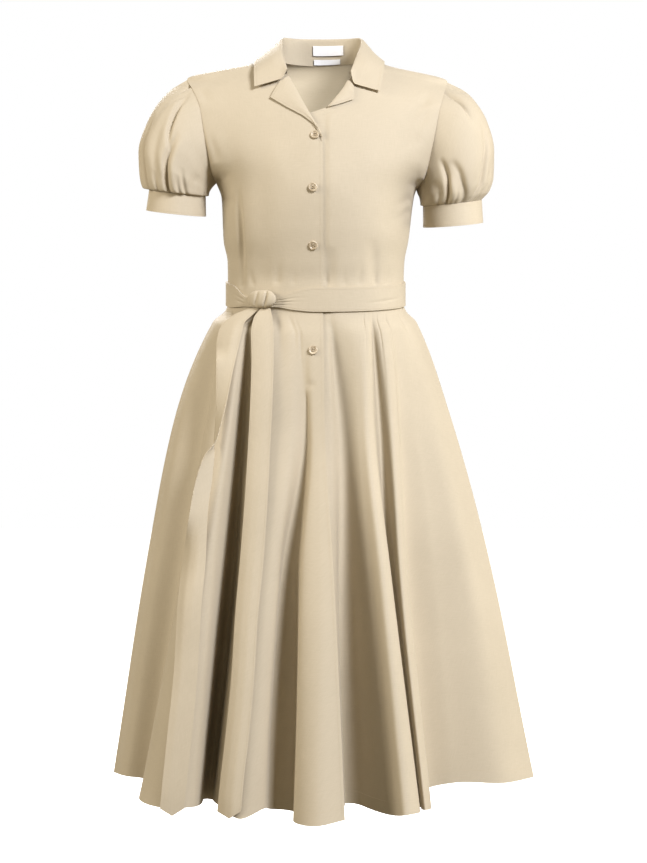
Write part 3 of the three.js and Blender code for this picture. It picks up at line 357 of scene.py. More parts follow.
# Small creases of the bodice: one end and the other (across, level), width, depth, place of the
# deepest point between them
FRONT_CREASES = [
    # Puckers and tucks at the waist
    (-116, -342, -121, -306, 4.5, 1.5, 0.05), (-99, -342, -104, -316, 3.5, 1.2, 0.05),
    (-64, -342, -60, -292, 5.5, 1.7, 0.05), (-40, -342, -37, -318, 4, 0.8, 0.05),
    (9, -342, 7.5, -318, 3, 1.6, 0.1), (34, -342, 32, -316, 4, 0.8, 0.05),
    (80, -342, 79, -316, 3, 1.6, 0.1), (56, -342, 61, -298, 5.5, 1.1, 0.05),
    (97, -342, 101, -304, 5, 1.4, 0.05),
    # Side panel line of the right front, and the waist evened beside it
    (-121.5, -186, -113, -354, 3.6, 6.2, 0.5), (-90, -186, -84, -342, 15, -4.2, 0.55),
    # Pulls from the sides, the yoke and the chest
    (-168, -110, -142, -180, 7, 1.6, 0.4), (136, -207, 104, -230, 5.5, 2.1, 0.12),
    (135, -224, 103, -252, 5, 1.7, 0.12), (-148, -206, -118, -226, 5.5, 1.5, 0.12),
    (166, -50, 120, -112, 8, 2.4, 0.3), (162, -78, 132, -122, 6, 1.8, 0.3),
    (150, -118, 112, -150, 8, 1.4, 0.3), (-182, -46, -152, -84, 8, 1.4, 0.2),
    # Chest eased out
    (-70, -110, -56, -214, 18, -1.4, 0.5), (74, -112, 58, -220, 18, -1.4, 0.5),
]
BACK_CREASES = [
    # Puckers at the waist
    (-108, -342, -112, -300, 5, 1.6, 0.05), (-76, -342, -72, -312, 4.5, 1.2, 0.05),
    (-24, -342, -26, -296, 5, 1.6, 0.05), (6, -342, 4, -318, 4, 1, 0.05),
    (28, -342, 31, -300, 5, 1.4, 0.05), (84, -342, 89, -308, 5, 1.5, 0.05),
    # Pulls over the blades
    (-160, -120, -110, -190, 10, 2, 0.15), (158, -118, 112, -184, 10, 2.2, 0.15),
]
CREASE_FADE = 8

# The depth is evened out over this reach up and down, above the waist, and not at the edges
EVEN_REACH = 24
EVEN_STEPS = 15
EVEN_FADE = 34
EVEN_ENDS = 20
EVEN_BOTTOM = -262


def eased_depth(grid, back, seams):
    """The depth evened out up and down, and kept as it is at the seams and the ends."""
    x, z = grid[..., 0], grid[..., 2]
    depth = bodice_face(x, z, back)[..., 1]
    shifts = np.linspace(-2, 2, EVEN_STEPS)
    weights = np.exp(-shifts ** 2)
    near = sum(w * bodice_face(x, z + EVEN_REACH * s, back)[..., 1] for s, w in zip(shifts, weights))
    rows = np.arange(grid.shape[0])
    keep = seam_fade(rows, (0, rows[-1]), EVEN_ENDS)[:, None]
    keep = keep * seam_fade(np.arange(grid.shape[1]), seams, EVEN_FADE)
    keep = keep * ease((z - EVEN_BOTTOM) / EVEN_FADE)
    smooth = grid.copy()
    smooth[..., 1] += (near / weights.sum() - depth) * keep
    return smooth


def bodice_creased(grid, rows, back, seams):
    """Adds the small creases, fading out at the seams that other pieces meet."""
    grid = eased_depth(grid, back, seams)
    field = creases(grid[..., 0], grid[..., 2], rows)
    return raised(grid, field * seam_fade(np.arange(grid.shape[1]), seams, CREASE_FADE))


right_front = bodice_creased(plain_right, FRONT_CREASES, False, [0])
left_front = bodice_creased(plain_left, FRONT_CREASES, False, [LEFT_COLUMNS - 1])
back_grid = bodice_creased(plain_back, BACK_CREASES, True, [0, BACK_COLUMNS - 1])

# Sleeve rings: share of the way down, under point and over point (across, level), half depth
RIGHT_SLEEVE = [
    (0, -157.5, -182, -201, -24, 57), (0.2, -161.5, -186, -231, -44, 64),
    (0.42, -164.5, -190, -259.5, -87, 70), (0.65, -167, -194, -273.5, -135, 71),
    (0.82, -168, -197.5, -272, -168, 67), (0.93, -168.5, -200.5, -266.5, -189, 61),
    (1, -173, -201.5, -257.5, -191, 53),
]
LEFT_SLEEVE = [
    (0, 143.5, -192, 190, -28, 57), (0.2, 145.5, -198, 222, -46, 64), (0.42, 147.5, -203, 249, -88, 70),
    (0.65, 148.5, -208, 259.5, -134, 72), (0.82, 149, -211.5, 258.5, -172, 68),
    (0.93, 149, -214.5, 253, -192, 62), (1, 153, -216, 241, -206, 54),
]

# Lower ends of the cuffs: under point and over point (across, level), half depth
RIGHT_CUFF_END = (-172.5, -231.5, -262, -222, 56)
LEFT_CUFF_END = (153, -248, 243, -240.5, 57)
CUFF_TILT = 0.14
CUFF_TILT_FROM = 0.3

# Pleats: place round the ring at both ends of the run (0 under, 0.25 front, 0.5 over), the run
# from the armhole (0) to the cuff (1), depth in, width as a share of the ring
RIGHT_PLEATS = [
    # At the cap
    (0.44, 0.4, -0.15, 0.5, 7, 0.02), (0.49, 0.52, -0.15, 0.42, 6, 0.018),
    (0.57, 0.62, -0.15, 0.5, 7, 0.02),
    # Down to the cuff
    (0.37, 0.28, 0.2, 1.15, 10, 0.022), (0.13, 0.17, 0.45, 1.15, 7, 0.02),
    (0.43, 0.39, 0.5, 1.15, 8, 0.02), (0.6, 0.63, 0.4, 1.15, 9, 0.022),
    (0.76, 0.75, 0.35, 1.15, 9, 0.024), (0.88, 0.86, 0.45, 1.15, 7, 0.02),
]
LEFT_PLEATS = [
    # At the cap
    (0.45, 0.36, -0.15, 0.45, 8, 0.02), (0.51, 0.5, -0.15, 0.42, 6, 0.018),
    (0.57, 0.63, -0.15, 0.5, 7, 0.02),
    # Down to the cuff
    (0.12, 0.2, 0.4, 1.15, 9, 0.02), (0.19, 0.29, 0.35, 1.15, 10, 0.022),
    (0.42, 0.33, 0.3, 1.05, 8, 0.022), (0.58, 0.66, 0.4, 1.15, 9, 0.022),
    (0.74, 0.77, 0.35, 1.15, 9, 0.024), (0.89, 0.85, 0.45, 1.15, 7, 0.02),
]

# Small gathers of the sleeves, in rows like the pleats'
RIGHT_FINE = [
    # At the cap
    (0.47, 0.43, -0.12, 0.16, 4, 0.009), (0.405, 0.39, 0.02, 0.24, 2.2, 0.009),
    (0.465, 0.45, 0.02, 0.2, 1.8, 0.008), (0.53, 0.55, 0.02, 0.26, 2.2, 0.009),
    (0.6, 0.625, 0.02, 0.2, 1.8, 0.008),
    # At the cuff
    (0.07, 0.075, 0.8, 1.12, 2, 0.008), (0.22, 0.215, 0.68, 1.12, 3, 0.01),
    (0.25, 0.245, 0.82, 1.12, 2, 0.007), (0.33, 0.315, 0.74, 1.12, 3.2, 0.01),
    (0.36, 0.355, 0.85, 1.12, 2.2, 0.007), (0.46, 0.45, 0.7, 1.12, 3, 0.01),
    (0.54, 0.545, 0.78, 1.12, 2.4, 0.009), (0.68, 0.69, 0.72, 1.12, 3, 0.01),
    (0.81, 0.805, 0.76, 1.12, 2.6, 0.01), (0.93, 0.925, 0.8, 1.12, 2, 0.009),
    # Long ones, and a ridge between two of them
    (0.274, 0.263, 0.3, 1.2, 10, 0.0135), (0.395, 0.276, 0.04, 0.5, 7.5, 0.012),
    (0.248, 0.238, 0.2, 1.2, -3, 0.02), (0.43, 0.365, 0.35, 1.16, 6.5, 0.0115),
    (0.2, 0.175, 0.55, 1.14, 4, 0.011), (0.66, 0.74, 0.15, 1.2, 7, 0.0125),
    (0.8, 0.86, 0.4, 1.14, 5, 0.012),
]
LEFT_FINE = [
    # At the cap
    (0.45, 0.36, -0.1, 0.34, 6, 0.0105), (0.41, 0.38, 0.02, 0.26, 2.4, 0.009),
    (0.48, 0.465, 0.02, 0.18, 1.8, 0.008), (0.54, 0.56, 0.02, 0.24, 2.2, 0.009),
    (0.605, 0.63, 0.02, 0.2, 1.8, 0.008),
    # At the cuff
    (0.06, 0.065, 0.8, 1.12, 2, 0.008), (0.15, 0.16, 0.72, 1.12, 2.8, 0.01),
    (0.24, 0.245, 0.78, 1.12, 2.4, 0.008), (0.37, 0.36, 0.8, 1.12, 2.4, 0.008),
    (0.41, 0.395, 0.7, 1.12, 3.2, 0.01), (0.47, 0.465, 0.82, 1.12, 2.2, 0.008),
    (0.54, 0.55, 0.72, 1.12, 3, 0.01), (0.7, 0.71, 0.74, 1.12, 2.8, 0.01),
    (0.82, 0.815, 0.76, 1.12, 2.6, 0.01), (0.94, 0.935, 0.82, 1.12, 2, 0.009),
    # Long ones, and a ridge between two of them
    (0.185, 0.205, 0.24, 1.16, 8.5, 0.01), (0.22, 0.305, 0.42, 1.16, 6.5, 0.012),
    (0.205, 0.255, 0.6, 1.16, -3, 0.02), (0.41, 0.312, 0.4, 1.14, 6, 0.0125),
    (0.455, 0.44, 0.78, 1.14, 5, 0.012), (0.66, 0.72, 0.2, 1.2, 7, 0.0125),
    (0.82, 0.87, 0.45, 1.14, 5, 0.012),
]

# How much of the pleats stays beside the small gathers, how they run out at the ends, and how the
# sleeve meets the armhole
PLEAT_EVEN = 0.35
PLEAT_REACH = 1.02
PLEAT_START = 0.6
SEAM_TUCK = 0.4
SEAM_TUCK_END = 16
ARMHOLE_BLEND = 3

# Grid of the sleeves
RING_HALF = 110
SLEEVE_ROWS = 91
CUFF_ROWS = 15


def oval_point(under, over, depth, turn, tilt):
    """Oval ring between an under point and an over point, both (x, z)."""
    share = (1 - np.cos(2 * np.pi * turn)) / 2
    y = -depth * np.sin(2 * np.pi * turn)
    x = mix(under[0], over[0], share)
    z = mix(under[1], over[1], share)
    return np.stack([x, y, z + tilt * y], -1)


def armhole_loop(front_edge, back_edge, outwards):
    """Points round an armhole from the underarm up the front and down the back, with their
    turns shared by length: 0 under the arm, 0.5 at the shoulder."""
    hole = slice(SIDE_ROWS, LAST_HOLE_ROW + 1)
    share = np.linspace(0, 1, RING_HALF + 1)[:-1]
    points = []
    for run in (front_edge[hole], back_edge[hole][::-1]):
        lengths = lengths_of(run)
        points.append(read_at(share * lengths[-1], lengths, run))
    loop = np.concatenate(points)
    loop[:, 0] -= outwards * SEAM_TUCK
    return loop, np.concatenate([share, 1 + share]) / 2


def pleat_depth(pleats, turn, t):
    total = np.zeros(np.broadcast(turn, t).shape)
    for at_start, at_end, start, end, depth, width in pleats:
        along = np.clip((t - start) / (end - start), 0, 1)
        place = mix(at_start, at_end, along)
        total = total + depth * np.sin(np.pi * along) * np.exp(-((turn - place) / width) ** 2)
    return total


def sleeve_grid(table, pleats, fine_pleats, loop, turns):
    t, turn = np.linspace(0, 1, SLEEVE_ROWS)[:, None], turns[None, :]
    under_x, under_z, over_x, over_z, depth = (curve(t) for curve in curves_of(table))
    tilt = CUFF_TILT * ease((t - CUFF_TILT_FROM) / (1 - CUFF_TILT_FROM))
    place = oval_point((under_x, under_z), (over_x, over_z), depth, turn, tilt)
    middle = (under_x + over_x) / 2
    centre = np.stack([middle, np.zeros_like(middle), (under_z + over_z) / 2], -1)
    first = table[0][1:]
    start = oval_point(first[:2], first[2:4], first[4], turn, 0)
    shape = np.sin(np.pi * np.clip(t * PLEAT_REACH, 0, 1)) ** PLEAT_START
    dent = PLEAT_EVEN * pleat_depth(pleats, turn, t) * shape + pleat_depth(fine_pleats, turn, t)
    dent = dent + 2 * SEAM_TUCK * (1 - t) ** SEAM_TUCK_END
    blend = (1 - t) ** ARMHOLE_BLEND
    return place + unit(centre - place) * dent[..., None] + (loop - start) * blend[..., None]


def cuff_grid(table, end, turns):
    s, turn = np.linspace(0, 1, CUFF_ROWS)[:, None], turns[None, :]
    top = np.array(table[-1][1:]) - (0, SEAM_GAP, 0, SEAM_GAP, 0)
    ring = [mix(a, b, s) for a, b in zip(top, end)]
    return oval_point(ring[:2], ring[2:4], ring[4], turn, CUFF_TILT)


right_loop, right_turns = armhole_loop(plain_right[:, 0], plain_back[:, -1], -1)
left_loop, left_turns = armhole_loop(plain_left[:, -1], plain_back[:, 0], 1)
right_rings = sleeve_grid(RIGHT_SLEEVE, RIGHT_PLEATS, RIGHT_FINE, right_loop, right_turns)
left_rings = sleeve_grid(LEFT_SLEEVE, LEFT_PLEATS, LEFT_FINE, left_loop, left_turns)
right_cuff = cuff_grid(RIGHT_SLEEVE, RIGHT_CUFF_END, right_turns)
left_cuff = cuff_grid(LEFT_SLEEVE, LEFT_CUFF_END, left_turns)

# Folds of the skirt, side seam to side seam: offset across at the waist, then across and depth at
# four levels (under the belt, hip, thigh, hem), and the level of the hem
SKIRT_LEVELS = (0.06, 0.25, 0.53, 1)
RIGHT_FOLDS = [
    (-141, (-160.5, -217.5, -258, -311.2), (0, 0, 0, 0), -1065),  # side seam
    (-138, (-156, -205.5, -241.5, -292.5), (-36, -36, -42, -48), -1071),  # side panel
    (-132, (-144, -174, -208.5, -256.5), (-60, -62, -64, -60), -1077),  # first hollow
    (-124.5, (-138, -168, -204, -273), (-70, -88, -112, -135), -1105.5),  # edge two
    (-117, (-129, -154.5, -184.5, -234), (-79, -106, -150, -188), -1119),  # pleat two
    (-109.5, (-118.5, -138, -163.5, -192), (-86, -113, -153, -180), -1117.5),  # fall two
    (-100.5, (-106.5, -117, -132, -169.5), (-86, -84, -84, -84), -1106.2),  # hollow two
    (-93, (-94.5, -103.5, -117, -151.5), (-94, -112, -145, -180), -1116),  # edge three
    (-84, (-81, -85.5, -94.5, -121.5), (-98, -121, -163, -212), -1135.5),  # pleat three
    (-56, (-50, -46, -66, -84), (-102, -121, -158, -198), -1120.5),  # fall three
    (-34, (-27, -24, -48, -58.5), (-103, -112, -128, -160), -1123.5),  # middle hollow
    (-21, (-17, -13, -30, -43.5), (-103.6, -122, -160, -206), -1140),  # pleat side
    (-9, (-7, -5, -4, -7.5), (-104, -124, -171, -235), -1146.6),  # front pleat
    (3, (3.8, 6, 19.5, 36), (-104, -124, -170, -222), -1137),  # front edge
]
LEFT_FOLDS = [
    (-30, (-27, -13, -8, 6), (-100.2, -113, -152, -202), -1128),  # under edge
    (-13.5, (-10.5, -2, 6, 22), (-101.3, -116, -154, -196), -1125),  # under lap
    (4.5, (7.5, 14, 20, 35), (-100.5, -112, -138, -158), -1116),  # under turn
    (19.5, (24, 32, 35, 43), (-98, -100, -112, -120), -1113.8),  # front hollow
    (40.5, (50, 57, 75, 107), (-99, -113, -146, -184), -1130),  # edge four
    (56, (62, 68, 91, 127), (-97, -117, -161, -210), -1130),  # pleat four
    (69, (71, 78, 104, 148), (-92, -109, -148, -192), -1125.8),  # fall four
    (75, (78, 89, 104, 142.5), (-84, -88, -108, -126), -1119),  # side hollow
    (82.5, (90, 105, 118.5, 156), (-84, -100, -130, -156), -1122),  # narrow pleat
    (91.5, (102, 115.5, 129, 165.8), (-76, -90, -118, -136), -1119),  # narrow edge
    (97.5, (106.5, 118.5, 126, 154.5), (-68, -74, -80, -76), -1092),  # last hollow
    (109.5, (120, 142.5, 169.5, 202.5), (-54, -58, -66, -66), -1080.8),  # panel front
    (119, (133.5, 174, 220.5, 273), (-32, -36, -44, -50), -1081.5),  # side panel
    (125.2, (141.8, 193.5, 249, 319.5), (0, 0, 0, 0), -1072.5),  # side seam
]
BACK_FOLDS = [
    LEFT_FOLDS[-1],
    (117, (130, 168, 212, 264), (36, 44, 62, 84), -1074),  # left side panel
    (104, (112, 138, 166, 202), (60, 62, 70, 78), -1074),  # left hollow
    (88, (94, 116, 146, 186), (74, 92, 128, 168), -1074),  # left pleat
    (68, (72, 82, 96, 118), (82, 86, 98, 110), -1074),  # left inner hollow
    (46, (48, 58, 74, 100), (91, 108, 146, 190), -1074),  # left middle pleat
    (20, (20, 22, 26, 30), (92, 96, 112, 122), -1074),  # middle hollow
    (-6, (-8, -8, -10, -6), (97, 114, 154, 204), -1074),  # middle pleat
    (-34, (-36, -42, -54, -66), (93, 97, 112, 126), -1073),  # right middle hollow
    (-60, (-64, -78, -96, -122), (90, 106, 140, 182), -1072),  # right middle pleat
    (-84, (-92, -106, -130, -152), (78, 80, 90, 96), -1071),  # right inner hollow
    (-106, (-114, -142, -176, -214), (67, 82, 112, 146), -1069),  # right pleat
    (-122, (-134, -166, -202, -240), (46, 48, 58, 70), -1067),  # right hollow
    (-136, (-152, -194, -232, -288), (22, 30, 40, 52), -1066),  # right side panel
    RIGHT_FOLDS[0],
]

# How a fold leaves the belt, from where the left front goes under the right one, and how the
# panels stand out below the belt
BELT_COVER = 0.028
STRAIGHT_DROP = 740
UNDER_LAP = 5
HIP_STAND = 1.8
HIP_START = 0.8 * BELT_COVER
HIP_RISE = 0.012
HIP_FROM = 0.04
HIP_FADE = 0.2

# Grid of the skirt panels, its rows closer at the waist
FOLD_SPLIT = 12
SKIRT_ROWS = 150
SKIRT_CROWD = 0.8


def waist_point(x, back):
    point = bodice_face(np.clip(x, *WAIST_SIDES), WAIST_LEVEL, back)
    point[..., 2] -= SEAM_GAP / 2
    return point


def fold_line(row, back, inset, w):
    """One fold line from waist to hem at shares w of the way down."""
    waist, x, y, hem = row
    start = waist_point(waist, back)
    start[1] += inset * (WALL + LAP_GAP)
    at = [0, BELT_COVER, *SKIRT_LEVELS]
    x_at = column(at, [start[0], start[0], *x])(w)
    y_at = column(at, [start[1], start[1], *y])(w)
    z_at = mix(start[2], hem, w)
    point = np.stack([x_at, y_at, z_at], -1) if back else brought(x_at, y_at, z_at)
    lift = 1 - ease(w / SKIRT_LEVELS[0])
    point[:, 0] = mix(point[:, 0], start[0], lift)
    point[:, 2] = mix(point[:, 2], start[2] - w * STRAIGHT_DROP, lift)
    return point


def skirt_panel(folds, back, inset_below=-math.inf):
    lines = [fold_line(row, back, row[0] < inset_below, skirt_w) for row in folds]
    s = np.linspace(0, len(folds) - 1, (len(folds) - 1) * FOLD_SPLIT + 1)
    return np.swapaxes(through(np.stack(lines))(s), 0, 1), s


skirt_w = 1 - np.linspace(0, 1, SKIRT_ROWS) ** SKIRT_CROWD
plain_skirt_right, right_s = skirt_panel(RIGHT_FOLDS, False)
plain_skirt_left, left_s = skirt_panel(LEFT_FOLDS, False, UNDER_LAP)
plain_skirt_back, back_s = skirt_panel(BACK_FOLDS, True)
plain_skirt_back[..., 1] += SEAM_GAP

# Small creases of the skirt panels: one end and the other (fold counted along the panel, share of
# the way down), width in folds, depth, place of the deepest point between them
SKIRT_ASPECT = 6
SKIRT_FADE = 0.4
WAIST_FADE = 0.03
RIGHT_SKIRT_CREASES = [
    # Gathers under the belt
    (2.4, 0.03, 2.2, 0.13, 0.16, 1.6, 0.1), (4.6, 0.03, 4.4, 0.18, 0.2, 2, 0.1),
    (8.6, 0.03, 8.7, 0.16, 0.2, 2, 0.1), (9.5, 0.03, 9.4, 0.12, 0.14, 1.4, 0.1),
    # Placket: its side, its bar and the cloth below
    (9.8, 0.02, 9.8, 0.15, 0.1, 1.4, 0.4), (9.8, 0.158, 12.1, 0.154, 0.028, 1.8, 0.5),
    (10.2, 0.165, 10, 0.42, 0.2, 2.4, 0.1),
    # Hollows made deeper
    (10, 0.2, 10, 1.7, 0.74, 19, 0.45), (6, 0.3, 6, 1.6, 0.4, 5, 0.5),
    # Eased lengths and hem
    (5.3, 0.2, 4.7, 0.8, 0.3, 2, 0.5), (9.2, 0.3, 9.6, 0.9, 0.35, -2.4, 0.6),
    (3.2, 1, 3.4, 0.6, 0.3, 2.4, 0.1),
]
LEFT_SKIRT_CREASES = [
    # Gathers under the belt
    (9.4, 0.03, 9.5, 0.16, 0.18, 1.6, 0.1), (11.4, 0.03, 11.6, 0.14, 0.16, 1.6, 0.1),
    # Hollows made deeper
    (2.5, 0.015, 3, 0.32, 0.36, 6, 0.3), (7, 0.015, 7, 0.3, 0.3, 3.5, 0.3),
    (3.05, 0.12, 3, 1.8, 0.42, 13, 0.4), (7, 0.15, 7, 1.7, 0.42, 9, 0.4),
    # Pressed lines of two pleats
    (5.5, 0.015, 5.4, 0.14, 0.05, 1.1, 0.2), (7.9, 0.015, 7.9, 0.2, 0.08, 1.5, 0.2),
    # Eased length
    (11.6, 0.2, 12.1, 0.85, 0.3, -2, 0.5),
]
BACK_SKIRT_CREASES = [
    # Gathers under the belt
    (1.5, 0.03, 1.6, 0.16, 0.18, 2, 0.1), (3.5, 0.03, 3.4, 0.13, 0.16, 1.6, 0.1),
    (6.5, 0.03, 6.6, 0.2, 0.18, 2, 0.1), (8.4, 0.03, 8.3, 0.14, 0.16, 1.6, 0.1),
    (10.5, 0.03, 10.6, 0.18, 0.18, 2, 0.1), (12.6, 0.03, 12.5, 0.12, 0.16, 1.6, 0.1),
    # Eased lengths
    (2.4, 0.25, 2.2, 0.85, 0.3, 2.4, 0.5), (7.4, 0.2, 7.6, 0.8, 0.3, -2.4, 0.5),
    (11.5, 0.3, 11.3, 0.9, 0.3, 2.2, 0.6),
]


def skirt_creased(grid, s, rows, seams):
    """Adds the small creases of a skirt panel in its own coordinates: fold and share down."""
    place, down = s[None, :], skirt_w[:, None]
    field = creases(place, down, rows, SKIRT_ASPECT) * seam_fade(place, seams, SKIRT_FADE)
    stand = ease((down - HIP_START) / HIP_RISE) * (1 - ease((down - HIP_FROM) / HIP_FADE))
    return raised(grid, field * ease(down / WAIST_FADE) + HIP_STAND * stand)


skirt_right = skirt_creased(plain_skirt_right, right_s, RIGHT_SKIRT_CREASES, [0])
skirt_left = skirt_creased(plain_skirt_left, left_s, LEFT_SKIRT_CREASES, [left_s[-1]])
skirt_back = skirt_creased(plain_skirt_back, back_s, BACK_SKIRT_CREASES, [0, back_s[-1]])


def cells(grid):
    """The four corners of each cell of a grid, from its low left round to its high left."""
    return np.stack([grid[:-1, :-1], grid[:-1, 1:], grid[1:, 1:], grid[1:, :-1]], 2)


def tree_of(*grids):
    points, faces, count = [], [], 0
    for grid in grids:
        rows, cols = grid.shape[:2]
        faces += cells(np.arange(rows * cols).reshape(rows, cols) + count).reshape(-1, 4).tolist()
        points += grid.reshape(-1, 3).tolist()
        count += rows * cols
    return BVHTree.FromPolygons(points, faces)


skirt_tree = tree_of(skirt_right, skirt_left)
RAY_FROM = -900


def skirt_depth(x, z):
    """Foremost depth of the front skirt at an offset across and a level."""
    hit = skirt_tree.ray_cast(Vector((x, RAY_FROM, z)), Vector((0, 1, 0)))[0]
    return hit.y if hit else np.nan


# Belt band on the front: across, rise and height as it is drawn in to the knot
BELT_ROWS = [
    (-141, 0, 35), (-129, 0, 33), (-107, -6, 14), (-66, -4.5, 14), (-40, -2, 26), (-8, 0, 35),
    (130, 0, 35),
]
BELT_OFF = WALL + 1.5
BELT_PROBE = 0.004
BELT_COLUMNS = 420
BELT_GRID_ROWS = 25

# Gathers of the belt towards the knot: one end and the other (turn round the waist, share of the
# belt's height), width in turns, depth, place of the deepest point between them
BELT_ASPECT = 0.1
BELT_CREASES = [
    # On the right of the knot
    (0.15, 0.72, 0.245, 0.6, 0.0036, 1.2, 0.2), (0.15, 0.52, 0.238, 0.42, 0.0034, 2, 0.1),
    (0.15, 0.26, 0.225, 0.25, 0.003, 1.5, 0.1),
    # On the left of the knot
    (0.112, 0.66, 0.06, 0.6, 0.0036, 1.1, 0.2), (0.112, 0.34, 0.066, 0.4, 0.003, 1.5, 0.1),
    # At the side
    (0.32, 0.3, 0.46, 0.45, 0.005, 0.8, 0.5),
]
belt_rise, belt_tall = curves_of(BELT_ROWS)


def waist_across(turn):
    return mix(*WAIST_SIDES, (1 - np.cos(2 * np.pi * turn)) / 2)


def waist_oval(turn):
    """Point of the waist at a share of the way round: 0 at the wearer's right side, front first."""
    turn = np.mod(turn, 1)
    x = waist_across(turn)
    behind = bodice_face(x, WAIST_LEVEL, True)
    return np.where((turn > 0.5)[..., None], behind, bodice_face(x, WAIST_LEVEL))


def belt_point(turn, share):
    along = waist_oval(turn + BELT_PROBE) - waist_oval(turn - BELT_PROBE)
    normal = unit(np.stack([along[..., 1], -along[..., 0], np.zeros_like(turn)], -1))
    point = waist_oval(turn) + normal * BELT_OFF
    x = waist_across(turn)
    behind = turn > 0.5
    rise = np.where(behind, 0, belt_rise(x))
    tall = np.where(behind, BELT_HEIGHT, belt_tall(x))
    point[..., 2] = WAIST_LEVEL + BELT_TILT * point[..., 1] + rise + tall * (share - 0.5)
    return point


belt_turn, belt_share = np.meshgrid(np.linspace(0, 1, BELT_COLUMNS + 1)[:-1],
                                    np.linspace(0, 1, BELT_GRID_ROWS))
belt_field = creases(belt_turn, belt_share, BELT_CREASES, BELT_ASPECT)
belt_grid = raised(belt_point(belt_turn, belt_share), belt_field, True)

# Collar stations: neck seam, roll, middle of the fall and outer edge
COLLAR_STATIONS = [
    ((-47.5, -58.5, -27), (-49.5, -62.5, -23), (-59, -68, -38), (-97.5, -66.5, -49)),  # right end
    ((-56, -28.5, -2.5), (-56.5, -31, 6), (-72, -41, -3), (-99, -42, -18.5)),  # right front
    ((-65, 5, 10.6), (-57.5, 4, 30), (-74, 5, 22), (-98.5, 6, 4.3)),  # right shoulder
    ((-57, 34.5, 6.6), (-56, 33, 43.5), (-70, 42, 30.5), (-92, 58.5, -7)),  # right back
    ((-36, 54.6, 6.6), (-38, 51, 46), (-44, 62, 36), (-58, 80, -9)),  # right of centre
    ((0, 64.6, 6.6), (1, 57, 46.5), (1, 70, 36), (1, 88, -6)),  # centre back
    ((36, 54.6, 6.6), (40, 51, 46), (46, 62, 36), (60, 80, -9)),  # left of centre
    ((58, 34.5, 6.2), (59, 33, 43), (72, 42, 30), (93, 58, -8)),  # left back
    ((65.5, 5, 9.6), (60, 4, 28), (74, 5, 20), (95, 6, 2.5)),  # left shoulder
    ((53.5, -27, -3.5), (53.5, -31, 5), (68, -42, -5), (93, -45, -20)),  # left front
    ((41.5, -60, -30), (43.5, -64.5, -26.5), (50, -72, -46), (86, -69, -56)),  # left end
]
FALL_STRAIGHT = 0.85
COLLAR_COLUMNS = 181
STAND_BEHIND = CLOTH + 0.1
STAND_ABOVE = 0.8

# Lapels from the bottom up: roll and edge (across, level)
RIGHT_LAPEL = [
    (0.9, -129.4, 2.3, -135.3), (-5.6, -116, -1.3, -123.4), (-13.6, -100.9, -10.7, -109.9),
    (-20.1, -88.8, -25.9, -97.5), (-28.9, -72.5, -49.2, -83.7), (-37, -55.7, -73.2, -67.7),
    (-43, -44, -67, -55), (-47.5, -34, -59.8, -42.5),
]
LEFT_LAPEL = [
    (10.3, -84.3, 14.6, -83.5), (17.5, -75.8, 26.2, -79.6), (27.7, -62.6, 46.6, -72),
    (36, -50, 47.4, -59.3), (40, -41, 48, -50.5),
]

# Section of a lapel: share from the roll to the edge, how far off the bodice, how far beyond
LAPEL_ACROSS = [
    (0, 1.35, 1.7), (0.12, 2.7, 0.4), (0.4, 3.4, 0), (0.7, 2.9, 0), (1, 2.4, 0),
]
LAPEL_COLUMNS = 25

# Knot of the belt, and its creases: place, width, depth
KNOT_FROM = -107
KNOT_TO = -65
KNOT_LEVEL = -362
KNOT_TALL = 26
KNOT_OUT = 12
KNOT_LEAST = 1.6
KNOT_LEAN = 0.12
KNOT_FLANK = 0.75
KNOT_BOW = 0.35
KNOT_REAR = 1.3 * BELT_OFF + LAP_GAP
KNOT_COLUMNS = 61
KNOT_ROWS = 41
KNOT_CREASES = [(0.28, 0.09, 3.5), (-0.38, 0.1, 3)]

# Tails of the belt: level, both edges across, how far the second edge stands forward
RIGHT_TAIL = [
    (-369.1, -108, -93, 0), (-379, -131, -103, 0), (-392, -147, -115.5, 0), (-405, -153.8, -118.5, 0),
    (-424.5, -156.8, -123, 0), (-459, -157, -131.2, -6), (-510, -157.8, -141.8, -14),
    (-544.5, -159.3, -150.8, -18), (-568.5, -161, -158.2, -18), (-590, -160.5, -175, -15),
    (-625.5, -163.5, -187.5, -10), (-672, -169.5, -196.5, -5), (-753, -173.2, -207, 0),
    (-807, -178.5, -213.8, 0), (-918, -185.2, -220.5, 0), (-975, -189.8, -226.5, 0),
    (-1045.5, -197.2, -234, 0), (-1119.8, -205.5, -241.5, 0),
]
LEFT_TAIL = [
    (-369.05, -90, -76, 0), (-384, -101, -73, 0), (-408, -105, -71.1, 0), (-447, -104.2, -71.1, 0),
    (-507, -106, -72.8, 0), (-582, -109.8, -76.5, 0), (-657, -114.3, -80.2, 0), (-747, -121.5, -86.2, 0),
    (-832.5, -129, -94.5, 0), (-918, -134.2, -99.8, 0), (-1003.5, -142.5, -107.2, 0),
    (-1074, -150.8, -115.5, 0), (-1124, -156, -120, 0),
]
TAIL_OFF = WALL + 3
TAIL_TIP = 11
TAIL_REACH = 10
TAIL_SPLIT = 6
TAIL_COLUMNS = 19
TAIL_EASE = 60
LEAN_FADE = 4
SKIRT_GUESS = -130.0

collar_lines = [through(line) for line in zip(*COLLAR_STATIONS)]


def collar_point(station, across):
    """Point of the collar: across counts seam 0, roll 1, middle of the fall 2, edge 3."""
    lines = np.stack([line(np.atleast_1d(station)) for line in collar_lines])
    across = np.atleast_1d(across)
    curved = through(lines)(across)
    beyond = np.clip(across - 2, 0, 1)[:, None, None]
    direct = mix(lines[2][None], lines[3][None], beyond)
    return np.where(beyond > 0, mix(curved, direct, FALL_STRAIGHT), curved)


